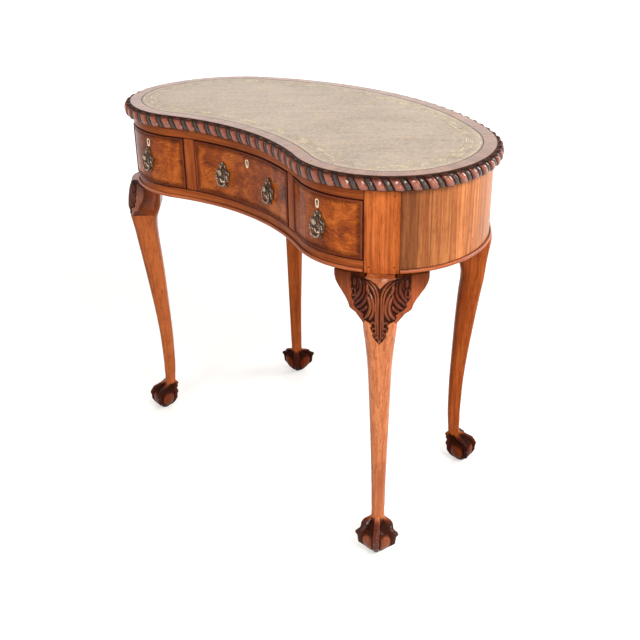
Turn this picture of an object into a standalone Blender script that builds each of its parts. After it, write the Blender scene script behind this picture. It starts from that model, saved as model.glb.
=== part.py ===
"""Kidney shaped writing desk on cabriole legs with ball-and-claw feet.

The carcase follows a kidney plan: a hollow front with three drawers, two round ends and a
bowed back. A board with an inset leather and a carved gadroon edge closes the top. Each
drawer holds a lock with a sliding bolt and one or two cast handles with a hinged drop.

Lengths are in metres, +Z is up, +X runs along the desk and the drawers open towards -Y.
The origin lies on the floor under the middle of the desk's box.
"""

import math
from dataclasses import dataclass

import bmesh
import bpy
from mathutils import Matrix, Vector

# Overall sizes
OVERALL_HEIGHT = 0.762
CARCASE_HEIGHT = 0.172
TOP_THICKNESS = 0.0255
FIT_GAP = 0.0003
CUT_OVERRUN = 0.002

# Plan of the carcase, four tangent arcs on each side of the middle
LOBE_CENTRE_X = 0.260
LOBE_RADIUS = 0.168
FRONT_RADIUS = 0.495
END_RADIUS = 0.225
BACK_RADIUS = 0.625
END_ARC_START = math.radians(-5.0)
PLAN_SHIFT_Y = -0.05876
FRONT_ARC_STEPS = 7
LOBE_ARC_STEPS = 12
END_ARC_STEPS = 7
BACK_ARC_STEPS = 6

# Top board, leather and gadroon edge
TOP_OVERHANG = 0.0045
LEATHER_BORDER = 0.025
LEATHER_THICKNESS = 0.001
LEATHER_RECESS = 0.0014
GADROON_LOBES = 78
GADROON_REACH = 0.0125
GADROON_DEPTH = 0.0250
GADROON_LEAN = 0.0120
GADROON_TOP_DROP = 0.0015

# Rails, dividers and base bead of the drawer front
UPPER_RAIL_HEIGHT = 0.0189
LOWER_RAIL_HEIGHT = 0.0226
RAIL_DEPTH = 0.022
TENON_LENGTH = 0.014
TENON_THICKNESS = 0.006
TENON_SETBACK = 0.0155
TENON_HEIGHT = 0.012
CENTRE_OPENING_HALF = 0.1416
DIVIDER_WIDTH = 0.026
SIDE_OPENING_WIDTH = 0.1769
BEAD_HEIGHT = 0.008
BEAD_REACH = 0.0045

# Frieze behind the front posts
POST_WIDTH = 0.0616
FRIEZE_THICKNESS = 0.016

# Inner frame that carries the drawers
GUIDE_THICKNESS = 0.024
BEARER_THICKNESS = 0.015
BEARER_REACH = 0.018
OUTER_BEARER_WIDTH = 0.027

# Drawers
FACE_CLEARANCE = 0.001
SIDE_CLEARANCE = 0.0015
DRAWER_FRONT_THICKNESS = 0.020
DRAWER_SIDE_THICKNESS = 0.009
DRAWER_BACK_THICKNESS = 0.009
DRAWER_BOTTOM_THICKNESS = 0.005
DRAWER_BOTTOM_LIFT = 0.006
GROOVE_DEPTH = 0.004
DRAWER_SIDE_DROP = 0.005
DRAWER_BACK_DROP = 0.004
COCKBEAD_WIDTH = 0.003
COCKBEAD_DEPTH = 0.008
COCKBEAD_REACH = 0.002
DRAWER_BACK_CLEARANCE = 0.0185

# Dovetails that join the drawer sides to the front
DOVETAIL_COUNT = 3
DOVETAIL_LENGTH = 0.007
DOVETAIL_WIDTH = 0.018
DOVETAIL_FLARE = 0.0025

# Locks and keyholes
LOCK_WIDTH = 0.044
LOCK_HEIGHT = 0.034
LOCK_DEPTH = 0.009
BOLT_WIDTH = 0.016
BOLT_THICKNESS = 0.005
BOLT_LENGTH = 0.018
BOLT_RECESS = 0.0004
BOLT_MORTISE_DEPTH = 0.008
SIDE_KEYHOLE_X = 0.257
KEYHOLE_DROP = 0.0176
KEYHOLE_RADIUS = 0.0022
KEYHOLE_SLOT_WIDTH = 0.0020
KEYHOLE_SLOT_LENGTH = 0.0095

# Handles
HANDLE_DROP = 0.0511
CENTRE_HANDLE_STATION = 0.0702
SIDE_HANDLE_STATION = 0.2673
HANDLE_STANDOFF = 0.0008
PLATE_WIDTH = 0.037
PLATE_HEIGHT = 0.052
PLATE_THICKNESS = 0.002
PLATE_DROP = 0.006
PLATE_SCALLOP = 0.0022
PLATE_SCALLOPS = 9
PLATE_STEPS = 27
BOSS_RADIUS = 0.0052
BOSS_LENGTH = 0.0130
BOSS_SIDES = 8
BOSS_HOLE_RADIUS = 0.0023
DROP_AXIS_REACH = 0.0082
DROP_WIDTH = 0.024
DROP_HEIGHT = 0.027
DROP_WIRE_RADIUS = 0.0016
STUD_RADIUS = 0.002
STUD_HOLE_RADIUS = 0.0026
STUD_OVERRUN = 0.004

# Cabriole legs
KNEE_REACH = 0.031
LEG_SETBACK = 0.044
KNEE_HALF_WIDTH = 0.0268
SHOULDER_QUIRK = 0.001
CORE_RADIUS = 0.008
CORE_HEIGHT = 0.010
SECTION_ROUNDNESS = 2.7
KNEE_ROUNDNESS = 4.6
REAR_LEG_X = 0.2700
REAR_LEG_DIRECTION = math.radians(48.0)
REAR_LEG_OUTSET = 0.0143
REAR_STILE_WIDTH = 0.048
REAR_STILE_DEPTH = 0.038
FRONT_STILE_DEPTH = 0.038
FRONT_CORE_U = -0.018
FRONT_CORE_V = 0.006
REAR_CORE_U = -0.040
REAR_CORE_V = -0.010

# Ball-and-claw feet
BALL_CENTRE_U = -0.004
BALL_CENTRE_Z = 0.0329
ANKLE_SETBACK = 0.0185
BALL_HALF_LENGTH = 0.026
BALL_HALF_WIDTH = 0.0320
BALL_HALF_HEIGHT = 0.0350
TALON_RELIEF = 0.0120
TALON_ANGLE = math.radians(76.0)
TALON_HALF_WIDTH = math.radians(13.0)

# Ear blocks beside the front knees
EAR_SPAN = 0.081
EAR_DEPTH = 0.022
EAR_TIP_REACH = 0.005
EAR_HEIGHT = 0.083

# Height up a front leg as a share, below which its section is as round as the shaft's
KNEE_FOOT_SHARE = 0.80
KNEE_HEAD_SHARE = 0.90

# Height up the leg, forward reach, setback and half width, as shares of the leg's sizes
FRONT_LEG_SHARES = (
    (1.000, 0.60, 0.955, 1.000),
    (0.974, 0.74, 0.955, 1.000),
    (0.941, 0.90, 0.943, 1.000),
    (0.899, 1.00, 0.900, 1.000),
    (0.861, 0.93, 0.740, 1.000),
    (0.830, 0.84, 0.615, 0.963),
    (0.775, 0.71, 0.602, 0.854),
    (0.690, 0.49, 0.677, 0.782),
    (0.600, 0.26, 0.745, 0.727),
    (0.509, 0.04, 0.791, 0.664),
    (0.420, -0.15, 0.832, 0.605),
    (0.320, -0.295, 0.866, 0.544),
    (0.210, -0.355, 0.852, 0.496),
    (0.170, -0.33, 0.820, 0.489),
)
REAR_LEG_SHARES = (
    (1.000, 0.45, 1.420, 1.000),
    (0.974, 0.72, 1.400, 1.000),
    (0.941, 0.90, 1.300, 1.000),
    (0.899, 1.00, 1.100, 1.000),
    (0.861, 0.90, 0.880, 1.000),
    (0.830, 0.82, 0.780, 0.930),
) + FRONT_LEG_SHARES[6:]

# Height of the foot rows, reach of the ball, relief of the talons and setback of the ankle
FOOT_ROW_SHARES = (
    (1.280, 0.46, 0.10, 0.92),
    (0.974, 0.62, 0.75, 0.50),
    (0.689, 0.80, 0.62, 0.20),
    (0.420, 0.93, 1.00, 0.05),
    (0.000, 1.00, 0.50, 0.00),
    (-0.426, 0.92, 0.88, 0.00),
    (-0.826, 0.62, 0.50, 0.00),
    (-0.940, 0.40, 0.35, 0.00),
)

# Lower edge of an ear: distance along the rail and depth below it, as shares of the ear
EAR_EDGE_SHARES = (
    (0.335, 1.02), (0.42, 0.93), (0.52, 0.82), (0.60, 0.785), (0.655, 0.75), (0.675, 0.65),
    (0.74, 0.50), (0.84, 0.39), (0.92, 0.30), (0.975, 0.21), (1.00, 0.12),
)

# Face of an ear beside the knee: forward reach and depth, as shares of the knee and the ear
EAR_FACE_SHARES = ((0.60, 0.0), (0.74, 0.28), (0.73, 0.68), (0.56, 1.0))

# Outline of the gadroon: reach and drop as shares, for the lobes and for the hollows
GADROON_ROW_SHARES = (
    (0.52, 0.06, 0.36, 0.12),
    (0.91, 0.25, 0.70, 0.31),
    (1.00, 0.52, 0.76, 0.54),
    (0.66, 0.88, 0.52, 0.86),
)
# Place along one lobe and height there: hollow, lobe, lobe, hollow, narrow reed
GADROON_COLUMN_SHARES = ((0.00, 0.0), (0.14, 0.92), (0.46, 1.0), (0.62, 0.0), (0.81, 0.62))

# Half outline of a handle's drop from its pin down, as shares of half width and height
DROP_SHARES = ((0.50, 0.0), (0.80, 0.07), (0.96, 0.24), (1.00, 0.46), (0.90, 0.71), (0.58, 0.92),
               (0.0, 1.0))

# Angles round a leg section, with close points where the talons run
SECTION_ANGLES = (0, 13, 38, 63, 76, 89, 128, 167, 180, 193, 232, 271, 284, 297, 322, 347)

WALNUT = ("polished_walnut", (0.36, 0.145, 0.055, 1.0), 0.32, 0.0)
CARVED_WALNUT = ("carved_walnut", (0.20, 0.065, 0.030, 1.0), 0.30, 0.0)
BURR_WALNUT = ("burr_walnut", (0.33, 0.12, 0.040, 1.0), 0.28, 0.0)
OAK = ("drawer_oak", (0.48, 0.30, 0.15, 1.0), 0.62, 0.0)
LEATHER = ("olive_leather", (0.30, 0.24, 0.14, 1.0), 0.48, 0.0)
BRONZE = ("handle_bronze", (0.16, 0.11, 0.06, 1.0), 0.38, 1.0)
BRASS = ("lock_brass", (0.62, 0.45, 0.20, 1.0), 0.35, 1.0)

BOARD_UNDERSIDE = OVERALL_HEIGHT - TOP_THICKNESS
CARCASE_UNDERSIDE = OVERALL_HEIGHT - CARCASE_HEIGHT
CARCASE_TOP = BOARD_UNDERSIDE - FIT_GAP
OPENING_BOTTOM = CARCASE_UNDERSIDE + LOWER_RAIL_HEIGHT
OPENING_TOP = BOARD_UNDERSIDE - UPPER_RAIL_HEIGHT
DIVIDER_OUTER_X = CENTRE_OPENING_HALF + DIVIDER_WIDTH
KEYHOLE_HEIGHT = OPENING_TOP - KEYHOLE_DROP
HANDLE_HEIGHT = OPENING_TOP - HANDLE_DROP
POST_FACE_X = DIVIDER_OUTER_X + SIDE_OPENING_WIDTH
GUIDE_CENTRE_X = CENTRE_OPENING_HALF + DIVIDER_WIDTH / 2


@dataclass(frozen=True)
class Arc:
    """One arc of the plan; turn is 1 where the desk bulges and -1 where it is hollow."""

    centre: tuple
    radius: float
    turn: int
    start: float
    end: float
    steps: int

    def length(self, offset):
        """Length of the arc when the outline is moved outwards by offset."""
        return abs(self.end - self.start) * (self.radius + self.turn * offset)

    def spot(self, angle, offset):
        """Point at an angle on the arc moved outwards by offset, and its outward direction."""
        ray = Vector((math.cos(angle), math.sin(angle)))
        return Vector(self.centre) + ray * (self.radius + self.turn * offset), ray * self.turn


class KidneyPlan:
    """The carcase outline, walked from the middle of the front towards +X."""

    def __init__(self):
        self.knots = ()
        self.front_y = PLAN_SHIFT_Y - math.sqrt(
            (FRONT_RADIUS + LOBE_RADIUS) ** 2 - LOBE_CENTRE_X ** 2)
        self.lobe_y = PLAN_SHIFT_Y
        step_in = LOBE_RADIUS - END_RADIUS
        end_x = LOBE_CENTRE_X + step_in * math.cos(END_ARC_START)
        end_y = PLAN_SHIFT_Y + step_in * math.sin(END_ARC_START)
        back_y = end_y - math.sqrt((BACK_RADIUS - END_RADIUS) ** 2 - end_x ** 2)
        hollow = math.atan2(LOBE_CENTRE_X, PLAN_SHIFT_Y - self.front_y)
        self.hollow_angle = hollow
        back_angle = math.atan2(end_y - back_y, end_x)
        quarter = math.pi / 2
        self.arcs = (
            Arc((0.0, self.front_y), FRONT_RADIUS, -1, quarter, quarter - hollow,
                FRONT_ARC_STEPS),
            Arc((LOBE_CENTRE_X, PLAN_SHIFT_Y), LOBE_RADIUS, 1, -quarter - hollow,
                END_ARC_START, LOBE_ARC_STEPS),
            Arc((end_x, end_y), END_RADIUS, 1, END_ARC_START, back_angle, END_ARC_STEPS),
            Arc((0.0, back_y), BACK_RADIUS, 1, back_angle, quarter, BACK_ARC_STEPS),
        )

    def half_length(self, offset=0.0):
        """Half the way round the outline moved outwards by offset."""
        return sum(arc.length(offset) for arc in self.arcs)

    def spot(self, distance, offset=0.0, pace=0.0):
        """Point and outward direction at a distance measured on the outline moved by pace."""
        half = self.half_length(pace)
        wrapped = (distance + half) % (2 * half) - half
        side = -1 if wrapped < 0 else 1
        left = abs(wrapped)
        for arc in self.arcs:
            length = arc.length(pace)
            if left <= length or arc is self.arcs[-1]:
                angle = arc.start + (arc.end - arc.start) * left / length
                point, ray = arc.spot(angle, offset)
                return Vector((point.x * side, point.y)), Vector((ray.x * side, ray.y))
            left -= length
        raise ValueError("the plan has no arcs")

    def half_stations(self):
        """Distances of the facet corners from the middle of the front to that of the back."""
        half = [0.0]
        for arc in self.arcs:
            first = half[-1]
            half += [first + arc.length(0.0) * k / arc.steps for k in range(1, arc.steps + 1)]
        margin = DIVIDER_WIDTH / 4
        free = [d for d in half if all(abs(d - knot) > margin for knot in self.knots)]
        return sorted(free + list(self.knots))

    def stations(self):
        """Distances of the shared facet corners all the way round."""
        half = self.half_stations()
        total = 2 * half[-1]
        return half + [total - d for d in reversed(half[1:-1])]

    def walk(self, start, end):
        """Facet corners between two distances, both ends included."""
        total = 2 * self.half_length()
        margin = DIVIDER_WIDTH / 20
        found = []
        for turn in (-1, 0, 1):
            found += [d + turn * total for d in self.stations()]
        inner = [d for d in sorted(found) if start + margin < d < end - margin]
        return [start] + inner + [end]

    def face_arc_y(self, x, offset):
        """Depth of the drawer front's arcs at x, on the outline moved outwards by offset."""
        hollow_radius = FRONT_RADIUS - offset
        if abs(x) <= hollow_radius * math.sin(self.hollow_angle):
            return self.front_y + math.sqrt(hollow_radius ** 2 - x ** 2)
        across = abs(x) - LOBE_CENTRE_X
        return self.lobe_y - math.sqrt((LOBE_RADIUS + offset) ** 2 - across ** 2)

    def face_y(self, x, offset=0.0):
        """Depth of the drawer front's facets at x, on the outline moved outwards by offset."""
        columns = self.corner_columns()
        for low, high in zip(columns, columns[1:]):
            if low <= x <= high:
                share = (x - low) / (high - low)
                near, far = self.face_arc_y(low, offset), self.face_arc_y(high, offset)
                return near + (far - near) * share
        return self.face_arc_y(x, offset)

    def back_y(self, x, offset=0.0):
        """Depth of the facets of the carcase's back at x, moved outwards by offset."""
        walk = [self.spot(distance, offset)[0] for distance in self.half_stations()]
        for near, far in zip(walk, walk[1:]):
            if far.x <= abs(x) <= near.x:
                return near.y + (far.y - near.y) * (near.x - abs(x)) / (near.x - far.x)
        raise ValueError("x lies beyond the carcase")

    def back_columns(self, low, high, offset):
        """Facet corners of the back between two x values of one side, from high to low."""
        margin = DIVIDER_WIDTH / 20
        right = [self.spot(distance, offset)[0] for distance in self.half_stations()]
        found = [sign * p.x for p in right if p.y > PLAN_SHIFT_Y for sign in (-1, 1)]
        inner = sorted((x for x in found if low + margin < x < high - margin), reverse=True)
        return [high] + inner + [low]

    def face_distance(self, x):
        """Distance along the outline of the drawer front at x."""
        hollow, lobe = self.arcs[0], self.arcs[1]
        if abs(x) <= FRONT_RADIUS * math.sin(self.hollow_angle):
            return math.copysign(FRONT_RADIUS * math.asin(abs(x) / FRONT_RADIUS), x)
        angle = -math.acos((abs(x) - LOBE_CENTRE_X) / LOBE_RADIUS)
        return math.copysign(hollow.length(0.0) + LOBE_RADIUS * (angle - lobe.start), x)

    def back_distance(self, x):
        """Distance along the outline of the back of the carcase at x."""
        front, end, back = sum(arc.length(0.0) for arc in self.arcs[:2]), self.arcs[2], self.arcs[3]
        if x > back.radius * math.cos(back.start):
            angle = math.acos((x - end.centre[0]) / end.radius)
            return front + end.radius * (angle - end.start)
        angle = math.acos(x / back.radius)
        return front + end.length(0.0) + back.radius * (angle - back.start)

    def corner_columns(self):
        """The x values of the facet corners of the drawer front."""
        reach = self.face_distance(POST_FACE_X)
        inner = [self.spot(d)[0].x for d in self.half_stations() if d < reach]
        right = inner + [POST_FACE_X]
        return [-x for x in reversed(right[1:])] + right

    def face_columns(self, low, high):
        """Facet corners of the drawer front between two x values, ends included."""
        margin = DIVIDER_WIDTH / 20
        inner = [x for x in self.corner_columns() if low + margin < x < high - margin]
        return [low] + inner + [high]


PLAN = KidneyPlan()
POST_START = PLAN.face_distance(POST_FACE_X)
POST_END = POST_START + POST_WIDTH
REAR_LEG_STATION = PLAN.back_distance(REAR_LEG_X)
REAR_STILE_START = REAR_LEG_STATION - REAR_STILE_WIDTH / 2
REAR_STILE_END = REAR_LEG_STATION + REAR_STILE_WIDTH / 2
PLAN.knots = (POST_START, POST_END, REAR_STILE_START, REAR_LEG_STATION, REAR_STILE_END)


def make_collection(name):
    """New collection in the scene."""
    collection = bpy.data.collections.new(name)
    bpy.context.scene.collection.children.link(collection)
    return collection


def clear_scene():
    """Remove every object that the file starts with."""
    for old in list(bpy.data.objects):
        bpy.data.objects.remove(old, do_unlink=True)


clear_scene()
PARTS = make_collection("kidney_desk")
CUTTERS = make_collection("kidney_desk_cutters")


def finish_material(finish):
    """Principled material for a finish, made once and shared."""
    name, colour, roughness, metallic = finish
    material = bpy.data.materials.get(name)
    if material is None:
        material = bpy.data.materials.new(name)
        material.use_nodes = True
        shader = material.node_tree.nodes["Principled BSDF"]
        shader.inputs["Base Color"].default_value = colour
        shader.inputs["Roughness"].default_value = roughness
        shader.inputs["Metallic"].default_value = metallic
        material.diffuse_color = colour
    return material


def add_object(name, mesh, finish, collection=None):
    """Object for a mesh, in the parts collection unless another is given."""
    piece = bpy.data.objects.new(name, mesh)
    (collection or PARTS).objects.link(piece)
    if finish is not None:
        mesh.materials.append(finish_material(finish))
    return piece


def as_cutter(piece):
    """Mark an object as a shape that only cuts or joins others."""
    piece.hide_render = True
    piece.display_type = "WIRE"
    return piece


def flat_outline(name, loops, low, high, finish=None, collection=None):
    """Solid between two heights over one or more plan loops, from a filled 2D curve."""
    curve = bpy.data.curves.new(name, "CURVE")
    curve.dimensions = "2D"
    curve.fill_mode = "BOTH"
    curve.extrude = (high - low) / 2
    for loop in loops:
        spline = curve.splines.new("POLY")
        spline.points.add(len(loop) - 1)
        spline.use_cyclic_u = True
        for corner, point in zip(spline.points, loop):
            corner.co = (point[0], point[1], 0.0, 1.0)
    holder = bpy.data.objects.new(name, curve)
    PARTS.objects.link(holder)
    holder.location.z = (low + high) / 2
    bpy.context.view_layer.update()
    graph = bpy.context.evaluated_depsgraph_get()
    mesh = bpy.data.meshes.new_from_object(holder.evaluated_get(graph))
    place = holder.matrix_world.copy()
    bpy.data.objects.remove(holder, do_unlink=True)
    bpy.data.curves.remove(curve)
    welded = bmesh.new()
    welded.from_mesh(mesh)
    bmesh.ops.remove_doubles(welded, verts=welded.verts, dist=FIT_GAP / 20)
    bmesh.ops.recalc_face_normals(welded, faces=welded.faces)
    welded.to_mesh(mesh)
    welded.free()
    mesh.materials.clear()
    piece = add_object(name, mesh, finish, collection)
    piece.matrix_world = place
    return piece


def box(name, low, high, finish=None, collection=None):
    """Box between two corners, with its origin at its centre."""
    low, high = Vector(low), Vector(high)
    mesh = bpy.data.meshes.new(name)
    shape = bmesh.new()
    bmesh.ops.create_cube(shape, size=1.0)
    bmesh.ops.scale(shape, vec=high - low, verts=shape.verts)
    shape.to_mesh(mesh)
    shape.free()
    piece = add_object(name, mesh, finish, collection)
    piece.location = (low + high) / 2
    return piece


def rod(name, start, end, radius, sides, collection=None, finish=None):
    """Round bar between two points."""
    start, end = Vector(start), Vector(end)
    mesh = bpy.data.meshes.new(name)
    shape = bmesh.new()
    bmesh.ops.create_cone(shape, cap_ends=True, segments=sides, radius1=radius,
                          radius2=radius, depth=(end - start).length)
    shape.to_mesh(mesh)
    shape.free()
    piece = add_object(name, mesh, finish, collection)
    piece.location = (start + end) / 2
    piece.rotation_mode = "QUATERNION"
    piece.rotation_quaternion = (end - start).to_track_quat("Z", "Y")
    return piece


def join_or_cut(piece, tool, operation):
    """Add an exact Boolean modifier that joins or cuts piece with tool."""
    modifier = piece.modifiers.new(tool.name, "BOOLEAN")
    modifier.operation = operation
    modifier.solver = "EXACT"
    modifier.object = as_cutter(tool)
    return piece


def cut(piece, *tools):
    """Take the tools away from a piece."""
    for tool in tools:
        join_or_cut(piece, tool, "DIFFERENCE")
    return piece


def join(piece, *tools):
    """Join the tools to a piece."""
    for tool in tools:
        join_or_cut(piece, tool, "UNION")
    return piece


def loft(name, rings, finish, closed=False, collection=None):
    """Skin over rings of points, capped at both ends unless the rings meet in a circle."""
    mesh = bpy.data.meshes.new(name)
    shape = bmesh.new()
    rows = [[shape.verts.new(point) for point in ring] for ring in rings]
    pairs = list(zip(rows, rows[1:]))
    if closed:
        pairs.append((rows[-1], rows[0]))
    for first, second in pairs:
        count = len(first)
        for k in range(count):
            shape.faces.new((first[k], first[(k + 1) % count],
                             second[(k + 1) % count], second[k]))
    if not closed:
        shape.faces.new(rows[0])
        shape.faces.new(rows[-1])
    bmesh.ops.recalc_face_normals(shape, faces=shape.faces)
    shape.to_mesh(mesh)
    shape.free()
    return add_object(name, mesh, finish, collection)


def attach(piece, holder):
    """Parent a piece to an empty or another piece and keep its place."""
    bpy.context.view_layer.update()
    place = piece.matrix_world.copy()
    piece.parent = holder
    piece.matrix_parent_inverse = Matrix.Identity(4)
    piece.matrix_local = holder.matrix_world.inverted() @ place
    return piece


def empty(name, place):
    """Empty that marks a moving group's own origin."""
    holder = bpy.data.objects.new(name, None)
    PARTS.objects.link(holder)
    holder.location = place
    bpy.context.view_layer.update()
    return holder


def plan_loop(offset):
    """The whole outline moved outwards by offset."""
    return [PLAN.spot(distance, offset)[0] for distance in PLAN.stations()]


def strip_loop(start, end, inner, outer):
    """Loop of a strip that follows the outline between two distances and two offsets."""
    walk = PLAN.walk(start, end)
    out = [PLAN.spot(distance, outer)[0] for distance in walk]
    back = [PLAN.spot(distance, inner)[0] for distance in reversed(walk)]
    return out + back


def face_loop(low, high, inner, outer):
    """Loop of a strip of the drawer front between two x values, cut square to X."""
    columns = PLAN.face_columns(low, high)
    out = [(x, PLAN.face_y(x, outer)) for x in columns]
    back = [(x, PLAN.face_y(x, inner)) for x in reversed(columns)]
    return out + back


def make_top():
    """Top board with its recess, and the leather laid in it."""
    board = flat_outline("top_board", [plan_loop(TOP_OVERHANG)], BOARD_UNDERSIDE,
                         OVERALL_HEIGHT, WALNUT)
    recess_floor = OVERALL_HEIGHT - LEATHER_RECESS
    recess = flat_outline("leather_recess", [plan_loop(TOP_OVERHANG - LEATHER_BORDER)],
                          recess_floor, OVERALL_HEIGHT + CUT_OVERRUN, None, CUTTERS)
    cut(board, recess)
    leather_low = recess_floor + FIT_GAP
    flat_outline("leather_panel", [plan_loop(TOP_OVERHANG - LEATHER_BORDER - FIT_GAP)],
                 leather_low, leather_low + LEATHER_THICKNESS, LEATHER)


def gadroon_ring(distance, height, pace):
    """Section of the gadroon at a distance; height is 1 on a lobe and 0 in a hollow."""
    inner = TOP_OVERHANG + FIT_GAP
    top = OVERALL_HEIGHT - GADROON_TOP_DROP
    ring = []

    def corner(reach, drop):
        lean = GADROON_LEAN * (drop / GADROON_DEPTH - 1 / 2)
        point = PLAN.spot(distance + lean, inner + reach, pace)[0]
        return (point.x, point.y, top - drop)

    for lobe_reach, lobe_drop, hollow_reach, hollow_drop in GADROON_ROW_SHARES:
        reach = hollow_reach + (lobe_reach - hollow_reach) * height
        drop = hollow_drop + (lobe_drop - hollow_drop) * height
        ring.append(corner(GADROON_REACH * reach, GADROON_DEPTH * drop))
    ring.append(corner(0.0, GADROON_DEPTH - GADROON_TOP_DROP))
    ring.append(corner(0.0, 0.0))
    return ring


def make_gadroon():
    """Carved edge moulding, applied in a front and a back length."""
    pace = TOP_OVERHANG + GADROON_REACH * 2 / 3
    pitch = 2 * PLAN.half_length(pace) / GADROON_LOBES
    front_lobes = 2 * round(PLAN.half_length(pace) * 3 / 8 / pitch)
    lengths = (("gadroon_front", -front_lobes / 2, front_lobes),
               ("gadroon_back", front_lobes / 2, GADROON_LOBES - front_lobes))
    for name, first, count in lengths:
        rings = []
        for lobe in range(count):
            for share, height in GADROON_COLUMN_SHARES:
                distance = pitch * (first + lobe + share)
                if lobe == 0 and share == 0:
                    distance += FIT_GAP / 2
                rings.append(gadroon_ring(distance, height, pace))
        rings.append(gadroon_ring(pitch * (first + count) - FIT_GAP / 2, 0.0, pace))
        loft(name, rings, CARVED_WALNUT)


def rail_tenons(name, low, height):
    """Tenons at the two ends of a rail."""
    tenons = []
    for side in (-1, 1):
        tenons.append(tenon_box(f"{name}_tenon_{side}", side, low, height, 0.0))
    return tenons


def tenon_box(name, side, low, height, grow):
    """Box of a rail tenon on one side, grown evenly for its mortise."""
    middle_z = low + height / 2
    face = PLAN.face_y(POST_FACE_X, 0.0)
    y_out = face + TENON_SETBACK
    y_in = y_out + TENON_THICKNESS
    x_near = POST_FACE_X - RAIL_DEPTH / 4
    x_far = POST_FACE_X + TENON_LENGTH
    half = TENON_HEIGHT / 2 + grow
    corners_x = sorted((side * x_near, side * (x_far + grow)))
    return box(name, (corners_x[0], y_out - grow, middle_z - half),
               (corners_x[1], y_in + grow, middle_z + half), None, CUTTERS)


def make_rails():
    """Upper and lower front rails with tenons, and the dividers between the drawers."""
    reach = POST_FACE_X - FIT_GAP
    upper = flat_outline("upper_front_rail", [face_loop(-reach, reach, -RAIL_DEPTH, 0.0)],
                         OPENING_TOP, CARCASE_TOP, WALNUT)
    lower = flat_outline("lower_front_rail", [face_loop(-reach, reach, -RAIL_DEPTH, 0.0)],
                         CARCASE_UNDERSIDE, OPENING_BOTTOM, WALNUT)
    join(upper, *rail_tenons("upper_rail", OPENING_TOP, CARCASE_TOP - OPENING_TOP))
    join(lower, *rail_tenons("lower_rail", CARCASE_UNDERSIDE, LOWER_RAIL_HEIGHT))
    for side, key_x in ((-1, -SIDE_KEYHOLE_X), (0, 0.0), (1, SIDE_KEYHOLE_X)):
        y_mid = lock_middle_y(key_x)
        half_width = BOLT_WIDTH / 2 + FACE_CLEARANCE
        half_depth = BOLT_THICKNESS / 2 + FACE_CLEARANCE
        cut(upper, box(f"bolt_mortise_{side}",
                       (key_x - half_width, y_mid - half_depth, OPENING_TOP - CUT_OVERRUN),
                       (key_x + half_width, y_mid + half_depth,
                        OPENING_TOP + BOLT_MORTISE_DEPTH), None, CUTTERS))
    for side, name in ((-1, "left_divider"), (1, "right_divider")):
        ends = sorted((side * (CENTRE_OPENING_HALF), side * DIVIDER_OUTER_X))
        flat_outline(name, [face_loop(ends[0], ends[1], -RAIL_DEPTH, 0.0)],
                     OPENING_BOTTOM + FIT_GAP, OPENING_TOP - FIT_GAP, WALNUT)


def make_base_bead():
    """Half-round bead nailed round the foot of the carcase, broken at the posts."""
    half_turn = PLAN.half_length()
    lengths = (("base_bead_front", -POST_START + FIT_GAP, POST_START - FIT_GAP),
               ("base_bead_back", POST_END + FIT_GAP, 2 * half_turn - POST_END - FIT_GAP))
    low, high = CARCASE_UNDERSIDE, CARCASE_UNDERSIDE + BEAD_HEIGHT
    inset = BEAD_HEIGHT / 4
    section = ((FIT_GAP, low), (BEAD_REACH, low + inset), (BEAD_REACH, high - inset),
               (FIT_GAP, high))
    for name, start, end in lengths:
        rings = []
        for distance in PLAN.walk(start, end):
            ring = []
            for reach, height in section:
                point = PLAN.spot(distance, reach)[0]
                ring.append((point.x, point.y, height))
            rings.append(ring)
        loft(name, rings, WALNUT)


def make_frieze():
    """Curved frieze in three lengths, butted behind the rear legs."""
    total = 2 * PLAN.half_length()
    lengths = (("right_frieze", POST_END + FIT_GAP, REAR_LEG_STATION - FIT_GAP / 2),
               ("back_frieze", REAR_LEG_STATION + FIT_GAP / 2,
                total - REAR_LEG_STATION - FIT_GAP / 2),
               ("left_frieze", total - REAR_LEG_STATION + FIT_GAP / 2,
                total - POST_END - FIT_GAP))
    for name, start, end in lengths:
        flat_outline(name, [strip_loop(start, end, -FRIEZE_THICKNESS, 0.0)],
                     CARCASE_UNDERSIDE, CARCASE_TOP, WALNUT)


def make_drawer_frame():
    """Guides between the drawers and the bearers that the drawers run on."""
    bearer_top = OPENING_BOTTOM - FIT_GAP
    bearer_low = OPENING_BOTTOM - BEARER_THICKNESS
    for side, word in ((-1, "left"), (1, "right")):
        middle = side * GUIDE_CENTRE_X
        half = GUIDE_THICKNESS / 2
        flat_outline(f"{word}_guide", [frame_loop(middle - half, middle + half)],
                     OPENING_BOTTOM, CARCASE_TOP, OAK)
        reach = half + BEARER_REACH
        flat_outline(f"{word}_inner_bearer", [frame_loop(middle - reach, middle + reach)],
                     bearer_low, bearer_top, OAK)
        ends = sorted((side * (POST_FACE_X - OUTER_BEARER_WIDTH),
                       side * (POST_FACE_X - SIDE_CLEARANCE)))
        flat_outline(f"{word}_outer_bearer", [frame_loop(ends[0], ends[1])],
                     bearer_low, bearer_top, OAK)


def frame_loop(low, high):
    """Plan of a board from the back of the front rail to the inside of the frieze."""
    front = -RAIL_DEPTH - FIT_GAP
    back = -FRIEZE_THICKNESS - FIT_GAP
    loop = [(x, PLAN.face_y(x, front)) for x in PLAN.face_columns(low, high)]
    return loop + [(x, PLAN.back_y(x, back)) for x in PLAN.back_columns(low, high, back)]


@dataclass(frozen=True)
class LegStance:
    """Where a leg stands: its reference point, outward angle and hand."""

    point: Vector
    direction: float
    side: int

    def place(self, u, v, z):
        """World point for a reach u outwards, v sideways and a height z."""
        out = Vector((math.cos(self.direction), math.sin(self.direction)))
        across = Vector((-out.y, out.x))
        point = self.point + out * u + across * v
        return (point.x * self.side, point.y, z)


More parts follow.
